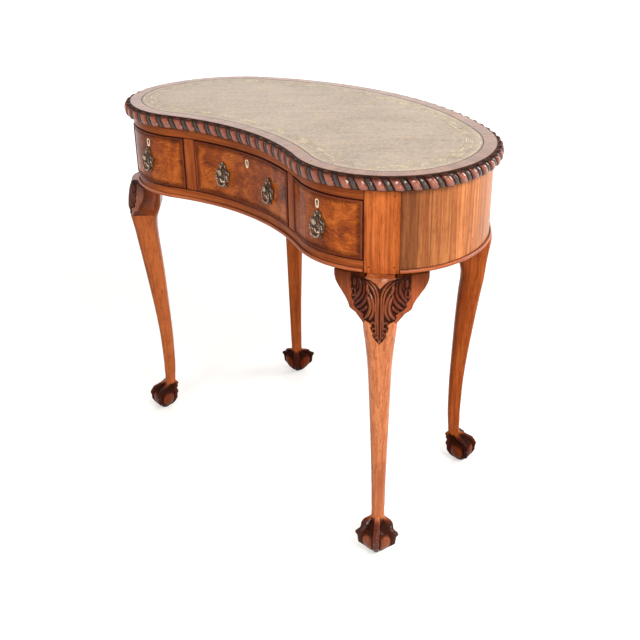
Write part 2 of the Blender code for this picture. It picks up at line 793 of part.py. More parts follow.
def front_stance(side):
    """Stance of a front leg, square to the middle of its post."""
    middle = (POST_START + POST_END) / 2
    point, ray = PLAN.spot(middle)
    return LegStance(point, math.atan2(ray.y, ray.x), side)


def rear_stance(side):
    """Stance of a rear leg, set out beyond the frieze along its own direction."""
    point = PLAN.spot(REAR_LEG_STATION)[0]
    out = Vector((math.cos(REAR_LEG_DIRECTION), math.sin(REAR_LEG_DIRECTION)))
    return LegStance(point + out * REAR_LEG_OUTSET, REAR_LEG_DIRECTION, side)


def section_unit(angle, power):
    """Point of a rounded square of unit half width; a higher power makes it squarer."""
    c, s = math.cos(angle), math.sin(angle)
    size = (abs(c) ** power + abs(s) ** power) ** (-1 / power)
    return c * size, s * size


def knee_power(lift):
    """Squareness of a front leg's section at a height, fuller where the ears meet it."""
    share = (lift - KNEE_FOOT_SHARE) / (KNEE_HEAD_SHARE - KNEE_FOOT_SHARE)
    share = min(max(share, 0.0), 1.0)
    return SECTION_ROUNDNESS + (KNEE_ROUNDNESS - SECTION_ROUNDNESS) * share


def talon_share(angle):
    """Height of a talon over the ball at an angle, from 0 between talons to 1 on one."""
    best = 0.0
    for centre in (0.0, TALON_ANGLE, math.pi, 2 * math.pi - TALON_ANGLE):
        gap = abs((angle - centre + math.pi) % (2 * math.pi) - math.pi)
        best = max(best, 1 - gap / TALON_HALF_WIDTH)
    return max(best, 0.0)


def foot_ring(stance, row):
    """One row of the ball-and-claw foot."""
    lift, reach, talon, setback = row
    height = BALL_CENTRE_Z + BALL_HALF_HEIGHT * lift
    middle = BALL_CENTRE_U - ANKLE_SETBACK * setback
    ring = []
    for degrees in SECTION_ANGLES:
        angle = math.radians(degrees)
        stand = TALON_RELIEF * talon * talon_share(angle)
        u = middle + (BALL_HALF_LENGTH * reach + stand) * math.cos(angle)
        v = (BALL_HALF_WIDTH * reach + stand) * math.sin(angle)
        ring.append(stance.place(u, v, height))
    return ring


def make_leg(name, stance, shares, core, power=lambda lift: SECTION_ROUNDNESS):
    """Cabriole leg lofted from shoulder to foot, with a core that rises into its stile."""
    shoulder = CARCASE_UNDERSIDE - SHOULDER_QUIRK
    rings = []
    for height in (CARCASE_UNDERSIDE + CORE_HEIGHT, shoulder):
        ring = []
        for degrees in SECTION_ANGLES:
            angle = math.radians(degrees)
            ring.append(stance.place(core[0] + CORE_RADIUS * math.cos(angle),
                                     core[1] + CORE_RADIUS * math.sin(angle), height))
        rings.append(ring)
    for lift, front, back, width in shares:
        reach_front, reach_back = KNEE_REACH * front, -LEG_SETBACK * back
        middle, half = (reach_front + reach_back) / 2, (reach_front - reach_back) / 2
        ring = []
        for degrees in SECTION_ANGLES:
            unit_u, unit_v = section_unit(math.radians(degrees), power(lift))
            ring.append(stance.place(middle + half * unit_u, KNEE_HALF_WIDTH * width * unit_v,
                                     shoulder * lift))
        rings.append(ring)
    for row in FOOT_ROW_SHARES:
        rings.append(foot_ring(stance, row))
    return loft(name, rings, WALNUT)


def front_stile_loop(side):
    """Plan of a front post: square to X at the drawer, square to the outline at the frieze."""
    walk = PLAN.walk(POST_START, POST_END)
    loop = [PLAN.spot(distance, 0.0)[0] for distance in walk]
    stance = front_stance(1)
    end_point, end_ray = PLAN.spot(POST_END)
    loop.append(end_point - end_ray * FRONT_STILE_DEPTH)
    out = Vector((math.cos(stance.direction), math.sin(stance.direction)))
    across = Vector((-out.y, out.x))
    inner = stance.point - out * FRONT_STILE_DEPTH
    loop.append(inner + across * (POST_FACE_X - inner.x) / across.x)
    return [(point.x * side, point.y) for point in loop]


def make_legs():
    """Four legs with their stiles, and the ear blocks of the front pair."""
    total = 2 * PLAN.half_length()
    for side, word in ((-1, "left"), (1, "right")):
        front = make_leg(f"front_{word}_leg", front_stance(side), FRONT_LEG_SHARES,
                         (FRONT_CORE_U, FRONT_CORE_V), knee_power)
        stile = flat_outline(f"front_{word}_stile", [front_stile_loop(side)],
                             CARCASE_UNDERSIDE, CARCASE_TOP, None, CUTTERS)
        join(front, stile)
        for place, low, height in (
                ("upper", OPENING_TOP, CARCASE_TOP - OPENING_TOP),
                ("lower", CARCASE_UNDERSIDE, LOWER_RAIL_HEIGHT)):
            cut(front, tenon_box(f"{place}_{word}_mortise", side, low, height, FIT_GAP))
        rear = make_leg(f"rear_{word}_leg", rear_stance(side), REAR_LEG_SHARES,
                        (REAR_CORE_U, REAR_CORE_V))
        near, far = REAR_STILE_START, REAR_STILE_END
        if side < 0:
            near, far = total - far, total - near
        outer = -FRIEZE_THICKNESS - FIT_GAP
        rear_stile = flat_outline(f"rear_{word}_stile",
                                  [strip_loop(near, far, outer - REAR_STILE_DEPTH, outer)],
                                  CARCASE_UNDERSIDE, CARCASE_TOP, None, CUTTERS)
        join(rear, rear_stile)
        for hand, place in ((-1, "inner"), (1, "outer")):
            make_ear(f"front_{word}_{place}_ear", front_stance(side), hand)


def make_ear(name, stance, hand):
    """Shaped block glued beside a front knee, under the rail."""
    top = CARCASE_UNDERSIDE - SHOULDER_QUIRK
    rings = []
    start = (KNEE_HALF_WIDTH + FIT_GAP) / EAR_SPAN
    for place, depth in EAR_EDGE_SHARES:
        v = EAR_SPAN * max(place, start)
        blend = (1 - (v / EAR_SPAN - start) / (1 - start)) ** 2
        bend = LOBE_RADIUS - math.sqrt(LOBE_RADIUS ** 2 - v ** 2)
        inner = LOBE_RADIUS - EAR_DEPTH
        ring = [(inner - LOBE_RADIUS - bend, 0.0)]
        for reach, down in EAR_FACE_SHARES:
            swell = EAR_TIP_REACH + (KNEE_REACH * reach - EAR_TIP_REACH) * blend
            ring.append((swell - bend, down))
        ring.append((inner - LOBE_RADIUS - bend, 1.0))
        rings.append([stance.place(u, hand * v, top - EAR_HEIGHT * depth * down)
                      for u, down in ring])
    loft(name, rings, CARVED_WALNUT)


@dataclass(frozen=True)
class DrawerPlan:
    """Opening, depth and fittings of one drawer."""

    word: str
    low: float
    high: float
    back: float
    key_x: float
    handles: tuple


def drawer_back(widest):
    """Depth of a drawer's back where the frieze comes nearest to its outer corner."""
    return PLAN.back_y(widest, -FRIEZE_THICKNESS) - DRAWER_BACK_CLEARANCE


DRAWERS = (
    DrawerPlan("left", -POST_FACE_X, -DIVIDER_OUTER_X, drawer_back(POST_FACE_X),
               -SIDE_KEYHOLE_X, (("left", -SIDE_HANDLE_STATION),)),
    DrawerPlan("center", -CENTRE_OPENING_HALF, CENTRE_OPENING_HALF,
               drawer_back(CENTRE_OPENING_HALF), 0.0,
               (("center_left", -CENTRE_HANDLE_STATION), ("center_right", CENTRE_HANDLE_STATION))),
    DrawerPlan("right", DIVIDER_OUTER_X, POST_FACE_X, drawer_back(POST_FACE_X),
               SIDE_KEYHOLE_X, (("right", SIDE_HANDLE_STATION),)),
)


def lock_middle_y(key_x):
    """Depth of the middle of a lock, let into the back of its drawer front."""
    return PLAN.face_y(key_x, 0.0) + DRAWER_FRONT_THICKNESS - LOCK_DEPTH / 2


def make_drawer(drawer):
    """One drawer: front with its cockbead, sides, back, bottom, lock and handles."""
    word = drawer.word
    holder = empty(f"{word}_drawer", ((drawer.low + drawer.high) / 2,
                                      PLAN.face_y(drawer.key_x), OPENING_BOTTOM))
    low, high = drawer.low + FACE_CLEARANCE, drawer.high - FACE_CLEARANCE
    bottom, top = OPENING_BOTTOM + FACE_CLEARANCE, OPENING_TOP - FACE_CLEARANCE
    front = make_drawer_front(drawer, low, high, bottom, top)
    bead = make_cockbead(word, low, high, bottom, top)
    box_parts = make_drawer_box(drawer, front)
    lock, bolt = make_lock(drawer, front, top)
    for piece in [front, bead, lock, bolt] + box_parts:
        attach(piece, holder)
    for handle_word, station in drawer.handles:
        for piece in make_handle(handle_word, station, front):
            attach(piece, holder)


def make_drawer_front(drawer, low, high, bottom, top):
    """Curved front board, rebated for the cockbead."""
    word = drawer.word
    rebate = COCKBEAD_DEPTH + FIT_GAP
    inset = COCKBEAD_WIDTH + FIT_GAP
    front = flat_outline(f"{word}_drawer_front",
                         [face_loop(low, high, -DRAWER_FRONT_THICKNESS, -rebate)],
                         bottom, top, BURR_WALNUT)
    face = flat_outline(f"{word}_drawer_face",
                        [face_loop(low + inset, high - inset, -rebate - COCKBEAD_WIDTH, 0.0)],
                        bottom + inset, top - inset, None, CUTTERS)
    join(front, face)
    return front


def make_cockbead(word, low, high, bottom, top):
    """Thin bead round the edge of a drawer front, standing proud of its face."""
    bead = flat_outline(f"{word}_cockbead", [face_loop(low, high, -COCKBEAD_DEPTH,
                                                       COCKBEAD_REACH)],
                        bottom, top, CARVED_WALNUT)
    window = flat_outline(f"{word}_cockbead_window",
                          [face_loop(low + COCKBEAD_WIDTH, high - COCKBEAD_WIDTH,
                                     -COCKBEAD_DEPTH - CUT_OVERRUN,
                                     COCKBEAD_REACH + CUT_OVERRUN)],
                          bottom + COCKBEAD_WIDTH, top - COCKBEAD_WIDTH, None, CUTTERS)
    return cut(bead, window)


def make_drawer_box(drawer, front):
    """Sides, back and bottom of a drawer, grooved and dovetailed together."""
    word = drawer.word
    inside = -DRAWER_FRONT_THICKNESS - FIT_GAP
    side_low = OPENING_BOTTOM
    side_high = OPENING_TOP - DRAWER_SIDE_DROP
    floor_low = side_low + DRAWER_BOTTOM_LIFT
    floor_high = floor_low + DRAWER_BOTTOM_THICKNESS
    outer_low, outer_high = drawer.low + SIDE_CLEARANCE, drawer.high - SIDE_CLEARANCE
    inner_low = outer_low + DRAWER_SIDE_THICKNESS
    inner_high = outer_high - DRAWER_SIDE_THICKNESS
    pieces = []
    sides = (("left_side", outer_low, inner_low), ("right_side", inner_high, outer_high))
    for label, x_low, x_high in sides:
        loop = [(x_low, PLAN.face_y(x_low, inside)), (x_high, PLAN.face_y(x_high, inside)),
                (x_high, drawer.back), (x_low, drawer.back)]
        pieces.append(flat_outline(f"{word}_drawer_{label}", [loop], side_low, side_high, OAK))
    back_low, back_high = inner_low + FIT_GAP, inner_high - FIT_GAP
    pieces.append(box(f"{word}_drawer_back",
                      (back_low, drawer.back - DRAWER_BACK_THICKNESS, floor_high + FIT_GAP),
                      (back_high, drawer.back, side_high - DRAWER_BACK_DROP), OAK))
    floor = bottom_panel(f"{word}_drawer_bottom", drawer, inner_low, inner_high, floor_low,
                         floor_high, 0.0, OAK, None)
    groove = bottom_panel(f"{word}_drawer_groove", drawer, inner_low, inner_high, floor_low,
                          floor_high, FIT_GAP, None, CUTTERS)
    for piece in (front, pieces[0], pieces[1]):
        cut(piece, groove)
    for piece, hand, x_low, x_high in ((pieces[0], -1, outer_low, inner_low),
                                       (pieces[1], 1, inner_high, outer_high)):
        make_dovetails(piece, front, hand, (x_low, x_high), (floor_high, side_high))
    pieces.append(floor)
    return pieces


def make_dovetails(side, front, hand, across, span):
    """Dovetails on the front end of a drawer side, and their sockets in the front."""
    inside = -DRAWER_FRONT_THICKNESS - FIT_GAP
    pitch = (span[1] - span[0]) / DOVETAIL_COUNT
    for k in range(DOVETAIL_COUNT):
        middle = span[0] + pitch * (k + 1 / 2)
        name = f"{side.name}_dovetail_{k}"
        join(side, dovetail(name, across, inside, middle, 0.0, CUT_OVERRUN))
        open_side = (across[0] - CUT_OVERRUN, across[1]) if hand < 0 else (
            across[0], across[1] + CUT_OVERRUN)
        grown = (open_side[0] - FIT_GAP, open_side[1] + FIT_GAP)
        cut(front, dovetail(f"{name}_socket", grown, inside, middle, FIT_GAP, CUT_OVERRUN))


def dovetail(name, across, inside, middle, grow, root):
    """One dovetail, narrow at its root and wide at its tip, grown evenly for its socket."""
    length = DOVETAIL_LENGTH + FIT_GAP + grow
    tip, neck = DOVETAIL_WIDTH / 2 + grow, DOVETAIL_WIDTH / 2 - DOVETAIL_FLARE + grow
    slope = (tip - neck) / length
    rings = []
    for x in across:
        tip_y = PLAN.face_y(x, inside) - length
        root_y = PLAN.face_y(x, inside) + root
        root_half = tip - slope * (root_y - tip_y)
        rings.append([(x, tip_y, middle - tip), (x, root_y, middle - root_half),
                      (x, root_y, middle + root_half), (x, tip_y, middle + tip)])
    return loft(name, rings, None, collection=CUTTERS)


def bottom_panel(name, drawer, inner_low, inner_high, low, high, grow, finish, collection):
    """Bottom board let into grooves, or the groove's own shape when grow is set."""
    x_low = inner_low - GROOVE_DEPTH + FIT_GAP - grow
    x_high = inner_high + GROOVE_DEPTH - FIT_GAP + grow
    front_edge = -DRAWER_FRONT_THICKNESS + GROOVE_DEPTH + grow
    columns = PLAN.face_columns(x_low, x_high)
    back = drawer.back + (CUT_OVERRUN if grow else 0.0)
    loop = [(x, PLAN.face_y(x, front_edge)) for x in columns]
    loop += [(x_high, back), (x_low, back)]
    return flat_outline(name, [loop], low - grow, high + grow, finish, collection)


def make_lock(drawer, front, top):
    """Lock case let into the drawer front, its sliding bolt and the keyhole."""
    word, key_x = drawer.word, drawer.key_x
    y_mid = lock_middle_y(key_x)
    half_width, half_depth = LOCK_WIDTH / 2, LOCK_DEPTH / 2
    case_low = top - LOCK_HEIGHT
    case = box(f"{word}_lock_case", (key_x - half_width, y_mid - half_depth, case_low),
               (key_x + half_width, y_mid + half_depth, top), BRASS)
    pocket = box(f"{word}_lock_pocket",
                 (key_x - half_width - FIT_GAP, y_mid - half_depth - FIT_GAP,
                  case_low - FIT_GAP),
                 (key_x + half_width + FIT_GAP, y_mid + LOCK_DEPTH + CUT_OVERRUN,
                  top + CUT_OVERRUN), None, CUTTERS)
    cut(front, pocket)
    bolt_top = top - BOLT_RECESS
    bolt_half = BOLT_THICKNESS / 2
    channel = box(f"{word}_bolt_channel",
                  (key_x - BOLT_WIDTH / 2 - FIT_GAP, y_mid - bolt_half - FIT_GAP,
                   bolt_top - BOLT_LENGTH - FIT_GAP),
                  (key_x + BOLT_WIDTH / 2 + FIT_GAP, y_mid + bolt_half + FIT_GAP,
                   top + CUT_OVERRUN), None, CUTTERS)
    cut(case, channel)
    bolt = box(f"{word}_lock_bolt",
               (key_x - BOLT_WIDTH / 2, y_mid - bolt_half, bolt_top - BOLT_LENGTH),
               (key_x + BOLT_WIDTH / 2, y_mid + bolt_half, bolt_top), BRASS)
    cut(front, keyhole_shape(f"{word}_keyhole", key_x, y_mid))
    return case, bolt


def keyhole_shape(name, key_x, y_mid):
    """Round-headed keyhole that runs from the drawer's face into the lock's pocket."""
    face = PLAN.face_y(key_x) - COCKBEAD_REACH - CUT_OVERRUN
    head = rod(name, (key_x, face, KEYHOLE_HEIGHT), (key_x, y_mid, KEYHOLE_HEIGHT),
               KEYHOLE_RADIUS, BOSS_SIDES, CUTTERS)
    slot = box(f"{name}_slot", (key_x - KEYHOLE_SLOT_WIDTH / 2, face,
                                KEYHOLE_HEIGHT - KEYHOLE_SLOT_LENGTH),
               (key_x + KEYHOLE_SLOT_WIDTH / 2, y_mid, KEYHOLE_HEIGHT), None, CUTTERS)
    return join(head, slot)


def face_frame(station, offset, height):
    """Frame on the drawer front: X along it, -Y out of it, Z up."""
    point, ray = PLAN.spot(station, offset)
    turn = math.atan2(ray.y, ray.x) + math.pi / 2
    return Matrix.Translation((point.x, point.y, height)) @ Matrix.Rotation(turn, 4, "Z")


def cartouche():
    """Scalloped shield outline of a handle's backplate, in its own X and Z."""
    loop = []
    for k in range(PLATE_STEPS):
        angle = 2 * math.pi * k / PLATE_STEPS
        scallop = PLATE_SCALLOP * math.cos(PLATE_SCALLOPS * (angle - math.pi / 2))
        pinch = 1 - abs(math.sin(angle)) * math.sin(angle) / 6
        x = (PLATE_WIDTH / 2 - PLATE_SCALLOP + scallop) * math.cos(angle) * pinch
        z = (PLATE_HEIGHT / 2 - PLATE_SCALLOP + scallop) * math.sin(angle)
        loop.append((x, z - PLATE_DROP))
    return loop


def make_handle(word, station, front):
    """Cast backplate with its boss and stud, and the drop that hangs from the boss."""
    frame = face_frame(station, HANDLE_STANDOFF, HANDLE_HEIGHT)
    plate = flat_outline(f"{word}_handle_plate", [cartouche()], 0.0, PLATE_THICKNESS, BRONZE)
    upright = Matrix.Rotation(math.pi / 2, 4, "X")
    plate.matrix_world = frame @ upright @ Matrix.Translation((0, 0, PLATE_THICKNESS / 2))
    boss = rod(f"{word}_handle_boss", frame @ Vector((0, -PLATE_THICKNESS / 2, 0)),
               frame @ Vector((0, -BOSS_LENGTH, 0)), BOSS_RADIUS, BOSS_SIDES, CUTTERS)
    stud_end = HANDLE_STANDOFF + DRAWER_FRONT_THICKNESS + STUD_OVERRUN
    stud = rod(f"{word}_handle_stud", frame @ Vector((0, -PLATE_THICKNESS / 2, 0)),
               frame @ Vector((0, stud_end, 0)), STUD_RADIUS, BOSS_SIDES, CUTTERS)
    eye = rod(f"{word}_handle_eye", frame @ Vector((-PLATE_WIDTH / 2, -DROP_AXIS_REACH, 0)),
              frame @ Vector((PLATE_WIDTH / 2, -DROP_AXIS_REACH, 0)), BOSS_HOLE_RADIUS,
              BOSS_SIDES, CUTTERS)
    join(plate, boss, stud)
    cut(plate, eye)
    hole = rod(f"{word}_stud_hole", frame @ Vector((0, -DRAWER_FRONT_THICKNESS, 0)),
               frame @ Vector((0, stud_end + CUT_OVERRUN, 0)), STUD_HOLE_RADIUS, BOSS_SIDES,
               CUTTERS)
    cut(front, hole)
    return plate, make_drop(word, frame)


def make_drop(word, frame):
    """Loop of wire whose flat top turns in the boss's eye, widest below its middle."""
    name = f"{word}_handle_drop"
    curve = bpy.data.curves.new(name, "CURVE")
    curve.dimensions = "3D"
    curve.bevel_depth = DROP_WIRE_RADIUS
    curve.bevel_resolution = 1
    left = [(-across, down) for across, down in reversed(DROP_SHARES[:-1])]
    corners = list(DROP_SHARES) + left
    spline = curve.splines.new("POLY")
    spline.points.add(len(corners) - 1)
    spline.use_cyclic_u = True
    for corner, (across, down) in zip(spline.points, corners):
        corner.co = (DROP_WIDTH / 2 * across, 0.0, -DROP_HEIGHT * down, 1.0)
    holder = bpy.data.objects.new(name, curve)
    PARTS.objects.link(holder)
    bpy.context.view_layer.update()
    graph = bpy.context.evaluated_depsgraph_get()
    mesh = bpy.data.meshes.new_from_object(holder.evaluated_get(graph))
    bpy.data.objects.remove(holder, do_unlink=True)
    bpy.data.curves.remove(curve)
    mesh.materials.clear()
    drop = add_object(name, mesh, BRONZE)
    drop.matrix_world = frame @ Matrix.Translation((0, -DROP_AXIS_REACH, 0))
    return drop


def shade(piece):
    """Shade a piece smooth, with its sharp edges kept."""
    piece.data.shade_smooth()
    piece.data.set_sharp_from_angle(angle=math.radians(35))


def build():
    """Make every piece of the desk."""
    make_top()
    make_gadroon()
    make_rails()
    make_base_bead()
    make_frieze()
    make_drawer_frame()
    make_legs()
    for drawer in DRAWERS:
        make_drawer(drawer)
    for piece in PARTS.objects:
        if piece.type == "MESH":
            shade(piece)


build()
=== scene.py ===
"""Dressed kidney shaped desk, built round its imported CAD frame.

Each sub-assembly is a class that makes its own meshes and gives them their finish. Lengths
are in metres in the frame of the CAD part: +Z is up and the drawers open towards -Y.
"""

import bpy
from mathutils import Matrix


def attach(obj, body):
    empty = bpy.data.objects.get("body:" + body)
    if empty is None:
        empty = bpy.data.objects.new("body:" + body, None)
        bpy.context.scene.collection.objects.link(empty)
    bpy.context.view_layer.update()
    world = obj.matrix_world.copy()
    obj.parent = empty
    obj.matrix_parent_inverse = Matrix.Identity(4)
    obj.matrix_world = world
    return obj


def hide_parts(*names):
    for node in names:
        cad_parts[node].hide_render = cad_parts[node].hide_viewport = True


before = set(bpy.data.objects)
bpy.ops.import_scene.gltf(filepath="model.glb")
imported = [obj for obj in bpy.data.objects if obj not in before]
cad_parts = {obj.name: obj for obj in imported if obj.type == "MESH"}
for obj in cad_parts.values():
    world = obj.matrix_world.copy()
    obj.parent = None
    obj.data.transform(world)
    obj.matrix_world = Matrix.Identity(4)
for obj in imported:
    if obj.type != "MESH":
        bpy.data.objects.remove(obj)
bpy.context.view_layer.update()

import logging
import math
from dataclasses import dataclass
from enum import Enum

import bmesh
import bpy
import numpy as np
from mathutils import Matrix, Vector

LOG = logging.getLogger("kidney_desk")
WELD = 1e-6
ROOT = "carcase"

Array = np.ndarray
Triple = tuple[float, float, float]
Colour = Triple
Marks = dict[str, Array]
Pair = tuple[float, float]
Path = tuple[Pair, ...]
Piece = bpy.types.Object
Socket = bpy.types.NodeSocket
Sockets = tuple[tuple[str, str, object], ...]
SIDES = ((-1, "left"), (1, "right"))


@dataclass(frozen=True)
class Arc:
    """One arc of the plan; turn is 1 where the desk bulges and -1 where it is hollow."""

    centre: Pair
    radius: float
    turn: int
    start: float
    end: float

    def length(self, offset: float) -> float:
        """Length of the arc when the outline is moved outwards by offset."""
        return abs(self.end - self.start) * (self.radius + self.turn * offset)


@dataclass(frozen=True)
class KidneyOutline:
    """The carcase outline as true arcs, walked from the middle of the front towards +X."""

    lobe_centre_x: float = 0.260
    lobe_radius: float = 0.168
    front_radius: float = 0.495
    end_radius: float = 0.225
    back_radius: float = 0.625
    end_start: float = math.radians(-5.0)
    shift_y: float = -0.05876

    @property
    def front_y(self) -> float:
        """Depth of the centre of the hollow front's arc."""
        reach = self.front_radius + self.lobe_radius
        return self.shift_y - math.sqrt(reach**2 - self.lobe_centre_x**2)

    @property
    def arcs(self) -> tuple[Arc, ...]:
        """The right half of the outline.

        Returns:
            Its four tangent arcs, from the middle of the front to the middle of the back.
        """
        step_in = self.lobe_radius - self.end_radius
        end_x = self.lobe_centre_x + step_in * math.cos(self.end_start)
        end_y = self.shift_y + step_in * math.sin(self.end_start)
        back_y = end_y - math.sqrt((self.back_radius - self.end_radius) ** 2 - end_x**2)
        hollow = math.atan2(self.lobe_centre_x, self.shift_y - self.front_y)
        back = math.atan2(end_y - back_y, end_x)
        quarter = math.pi / 2
        return (
            Arc((0.0, self.front_y), self.front_radius, -1, quarter, quarter - hollow),
            Arc((self.lobe_centre_x, self.shift_y), self.lobe_radius, 1,
                -quarter - hollow, self.end_start),
            Arc((end_x, end_y), self.end_radius, 1, self.end_start, back),
            Arc((0.0, back_y), self.back_radius, 1, back, quarter),
        )

    def half_length(self, offset: float = 0.0) -> float:
        """Half the way round the outline moved outwards by offset."""
        return sum(arc.length(offset) for arc in self.arcs)

    def spot(self, distance: Array | float, offset: Array | float = 0.0,
             pace: float = 0.0) -> tuple[Array, Array]:
        """Points and outward directions along the outline.

        Args:
            distance: Distances from the middle of the front, measured at pace.
            offset: How far outwards each point lies.
            pace: Offset of the line on which the distances are measured.

        Returns:
            The points and the outward rays, both with x and y as their last axis.
        """
        distance, offset = np.broadcast_arrays(np.asarray(distance, float),
                                               np.asarray(offset, float))
        half = self.half_length(pace)
        wrapped = (distance + half) % (2 * half) - half
        side = np.where(wrapped < 0, -1.0, 1.0)
        left = np.abs(wrapped)
        point = np.zeros(distance.shape + (2,))
        ray = np.zeros_like(point)
        first = 0.0
        for arc in self.arcs:
            length = arc.length(pace)
            inside = (left >= first - WELD) & (left <= first + length + WELD)
            angle = arc.start + (arc.end - arc.start) * (left - first) / length
            out = np.stack([np.cos(angle), np.sin(angle)], -1)
            reach = (arc.radius + arc.turn * offset)[..., None]
            point[inside] = (np.array(arc.centre) + out * reach)[inside]
            ray[inside] = (out * arc.turn)[inside]
            first += length
        point[..., 0] *= side
        ray[..., 0] *= side
        return point, ray

    def face_y(self, x: Array | float, offset: float = 0.0) -> Array:
        """Depth of the drawer front.

        Args:
            x: Places across the desk.
            offset: How far outwards the outline is moved.

        Returns:
            The depth at each place.
        """
        x = np.abs(np.asarray(x, float))
        hollow_radius = self.front_radius - offset
        hollow = math.atan2(self.lobe_centre_x, self.shift_y - self.front_y)
        inner = self.front_y + np.sqrt(np.maximum(hollow_radius**2 - x**2, 0.0))
        across = x - self.lobe_centre_x
        lobe = np.maximum((self.lobe_radius + offset) ** 2 - across**2, 0.0)
        return np.where(x <= hollow_radius * math.sin(hollow), inner,
                        self.shift_y - np.sqrt(lobe))

    def face_distance(self, x: float) -> float:
        """Distance along the outline of a place on the drawer front.

        Args:
            x: Place across the desk.

        Returns:
            The distance from the middle of the front.
        """
        hollow, lobe = self.arcs[0], self.arcs[1]
        if abs(x) <= self.front_radius * abs(math.cos(hollow.end)):
            return math.copysign(self.front_radius * math.asin(abs(x) / self.front_radius), x)
        angle = -math.acos((abs(x) - self.lobe_centre_x) / self.lobe_radius)
        return math.copysign(hollow.length(0.0) + self.lobe_radius * (angle - lobe.start), x)


PLAN = KidneyOutline()


@dataclass(frozen=True)
class DeskSizes:
    """Sizes that more than one sub-assembly of the desk follows."""

    height: float = 0.762
    carcase_underside: float = 0.590
    top_thickness: float = 0.0255
    fit_gap: float = 0.0003
    overhang: float = 0.0045
    leather_border: float = 0.025
    upper_rail: float = 0.0189
    lower_rail: float = 0.0226
    rail_depth: float = 0.022
    centre_half: float = 0.1416
    divider: float = 0.026
    side_opening: float = 0.1769
    post_width: float = 0.0616
    frieze_thickness: float = 0.016
    shoulder_quirk: float = 0.001
    rear_station: float = 0.8235
    keyhole_x: float = 0.257
    keyhole_height: float = 0.700
    side_handle: float = 0.2673
    centre_handle: float = 0.0702

    @property
    def board_underside(self) -> float:
        """Height of the underside of the top board."""
        return self.height - self.top_thickness

    @property
    def carcase_top(self) -> float:
        """Height of the top of the carcase."""
        return self.board_underside - self.fit_gap

    @property
    def opening_low(self) -> float:
        """Height of the foot of the drawer openings."""
        return self.carcase_underside + self.lower_rail

    @property
    def opening_high(self) -> float:
        """Height of the head of the drawer openings."""
        return self.board_underside - self.upper_rail

    @property
    def post_face(self) -> float:
        """The x of the side of a front post that faces its drawer."""
        return self.centre_half + self.divider + self.side_opening

    @property
    def post_start(self) -> float:
        """Distance along the outline where a front post starts."""
        return PLAN.face_distance(self.post_face)

    @property
    def post_end(self) -> float:
        """Distance along the outline where a front post ends."""
        return self.post_start + self.post_width


DESK = DeskSizes()


def ease(points: tuple[tuple[float, ...], ...] | Array, at: Array) -> Array:
    """Smooth values through a table, with no overshoot.

    Args:
        points: Rows whose first column rises or falls steadily.
        at: Places along the first column.

    Returns:
        The other columns at those places, as the last axis.
    """
    table = np.asarray(points, float)
    if table[0, 0] > table[-1, 0]:
        table = table[::-1]
    x, y = table[:, 0], table[:, 1:]
    step = np.diff(x)[:, None]
    slope = np.diff(y, axis=0) / step
    tangent = np.zeros_like(y)
    same = slope[:-1] * slope[1:] > 0
    near, far = step[:-1], step[1:]
    weight_a, weight_b = 2 * far + near, far + 2 * near
    with np.errstate(divide="ignore", invalid="ignore"):
        mean = (weight_a + weight_b) / (weight_a / slope[:-1] + weight_b / slope[1:])
    tangent[1:-1] = np.where(same, mean, 0.0)
    tangent[0], tangent[-1] = slope[0], slope[-1]
    at = np.clip(np.asarray(at, float), x[0], x[-1])
    index = np.clip(np.searchsorted(x, at, side="right") - 1, 0, len(x) - 2)
    width = (x[index + 1] - x[index])[..., None]
    t = (at - x[index])[..., None] / width
    return (y[index] * (2 * t**3 - 3 * t**2 + 1)
            + tangent[index] * width * (t**3 - 2 * t**2 + t)
            + y[index + 1] * (3 * t**2 - 2 * t**3)
            + tangent[index + 1] * width * (t**3 - t**2))


def smooth_path(corners: Path | Array, count: int) -> Array:
    """Curve of evenly shared points through corners.

    Args:
        corners: The points that the curve passes.
        count: How many points it gives between each pair of corners.

    Returns:
        The points of the curve.
    """
    corners = np.asarray(corners, float)
    padded = np.vstack([2 * corners[0] - corners[1], corners, 2 * corners[-1] - corners[-2]])
    t = np.linspace(0, 1, count, endpoint=False)[:, None]
    found = []
    for a, b, c, d in zip(padded, padded[1:], padded[2:], padded[3:]):
        found.append(0.5 * (2 * b + (c - a) * t + (2 * a - 5 * b + 4 * c - d) * t**2
                            + (3 * b - a - 3 * c + d) * t**3))
    return np.vstack(found + [corners[-1:]])


def stroke_gap(v: Array, w: Array, path: Array) -> tuple[Array, Array]:
    """Distance of points to a path and the share along it of the nearest place.

    Args:
        v: First coordinate of the points.
        w: Second coordinate of the points.
        path: The points of the path.

    Returns:
        The distances and the shares.
    """
    best = np.full(v.shape, 1e9)
    share = np.zeros(v.shape)
    last = len(path) - 1
    for k in range(last):
        a, run = path[k], path[k + 1] - path[k]
        t = ((v - a[0]) * run[0] + (w - a[1]) * run[1]) / max(float(run @ run), 1e-12)
        t = np.clip(t, 0, 1)
        gap = np.hypot(v - a[0] - run[0] * t, w - a[1] - run[1] * t)
        nearer = gap < best
        best = np.where(nearer, gap, best)
        share = np.where(nearer, (k + t) / last, share)
    return best, share


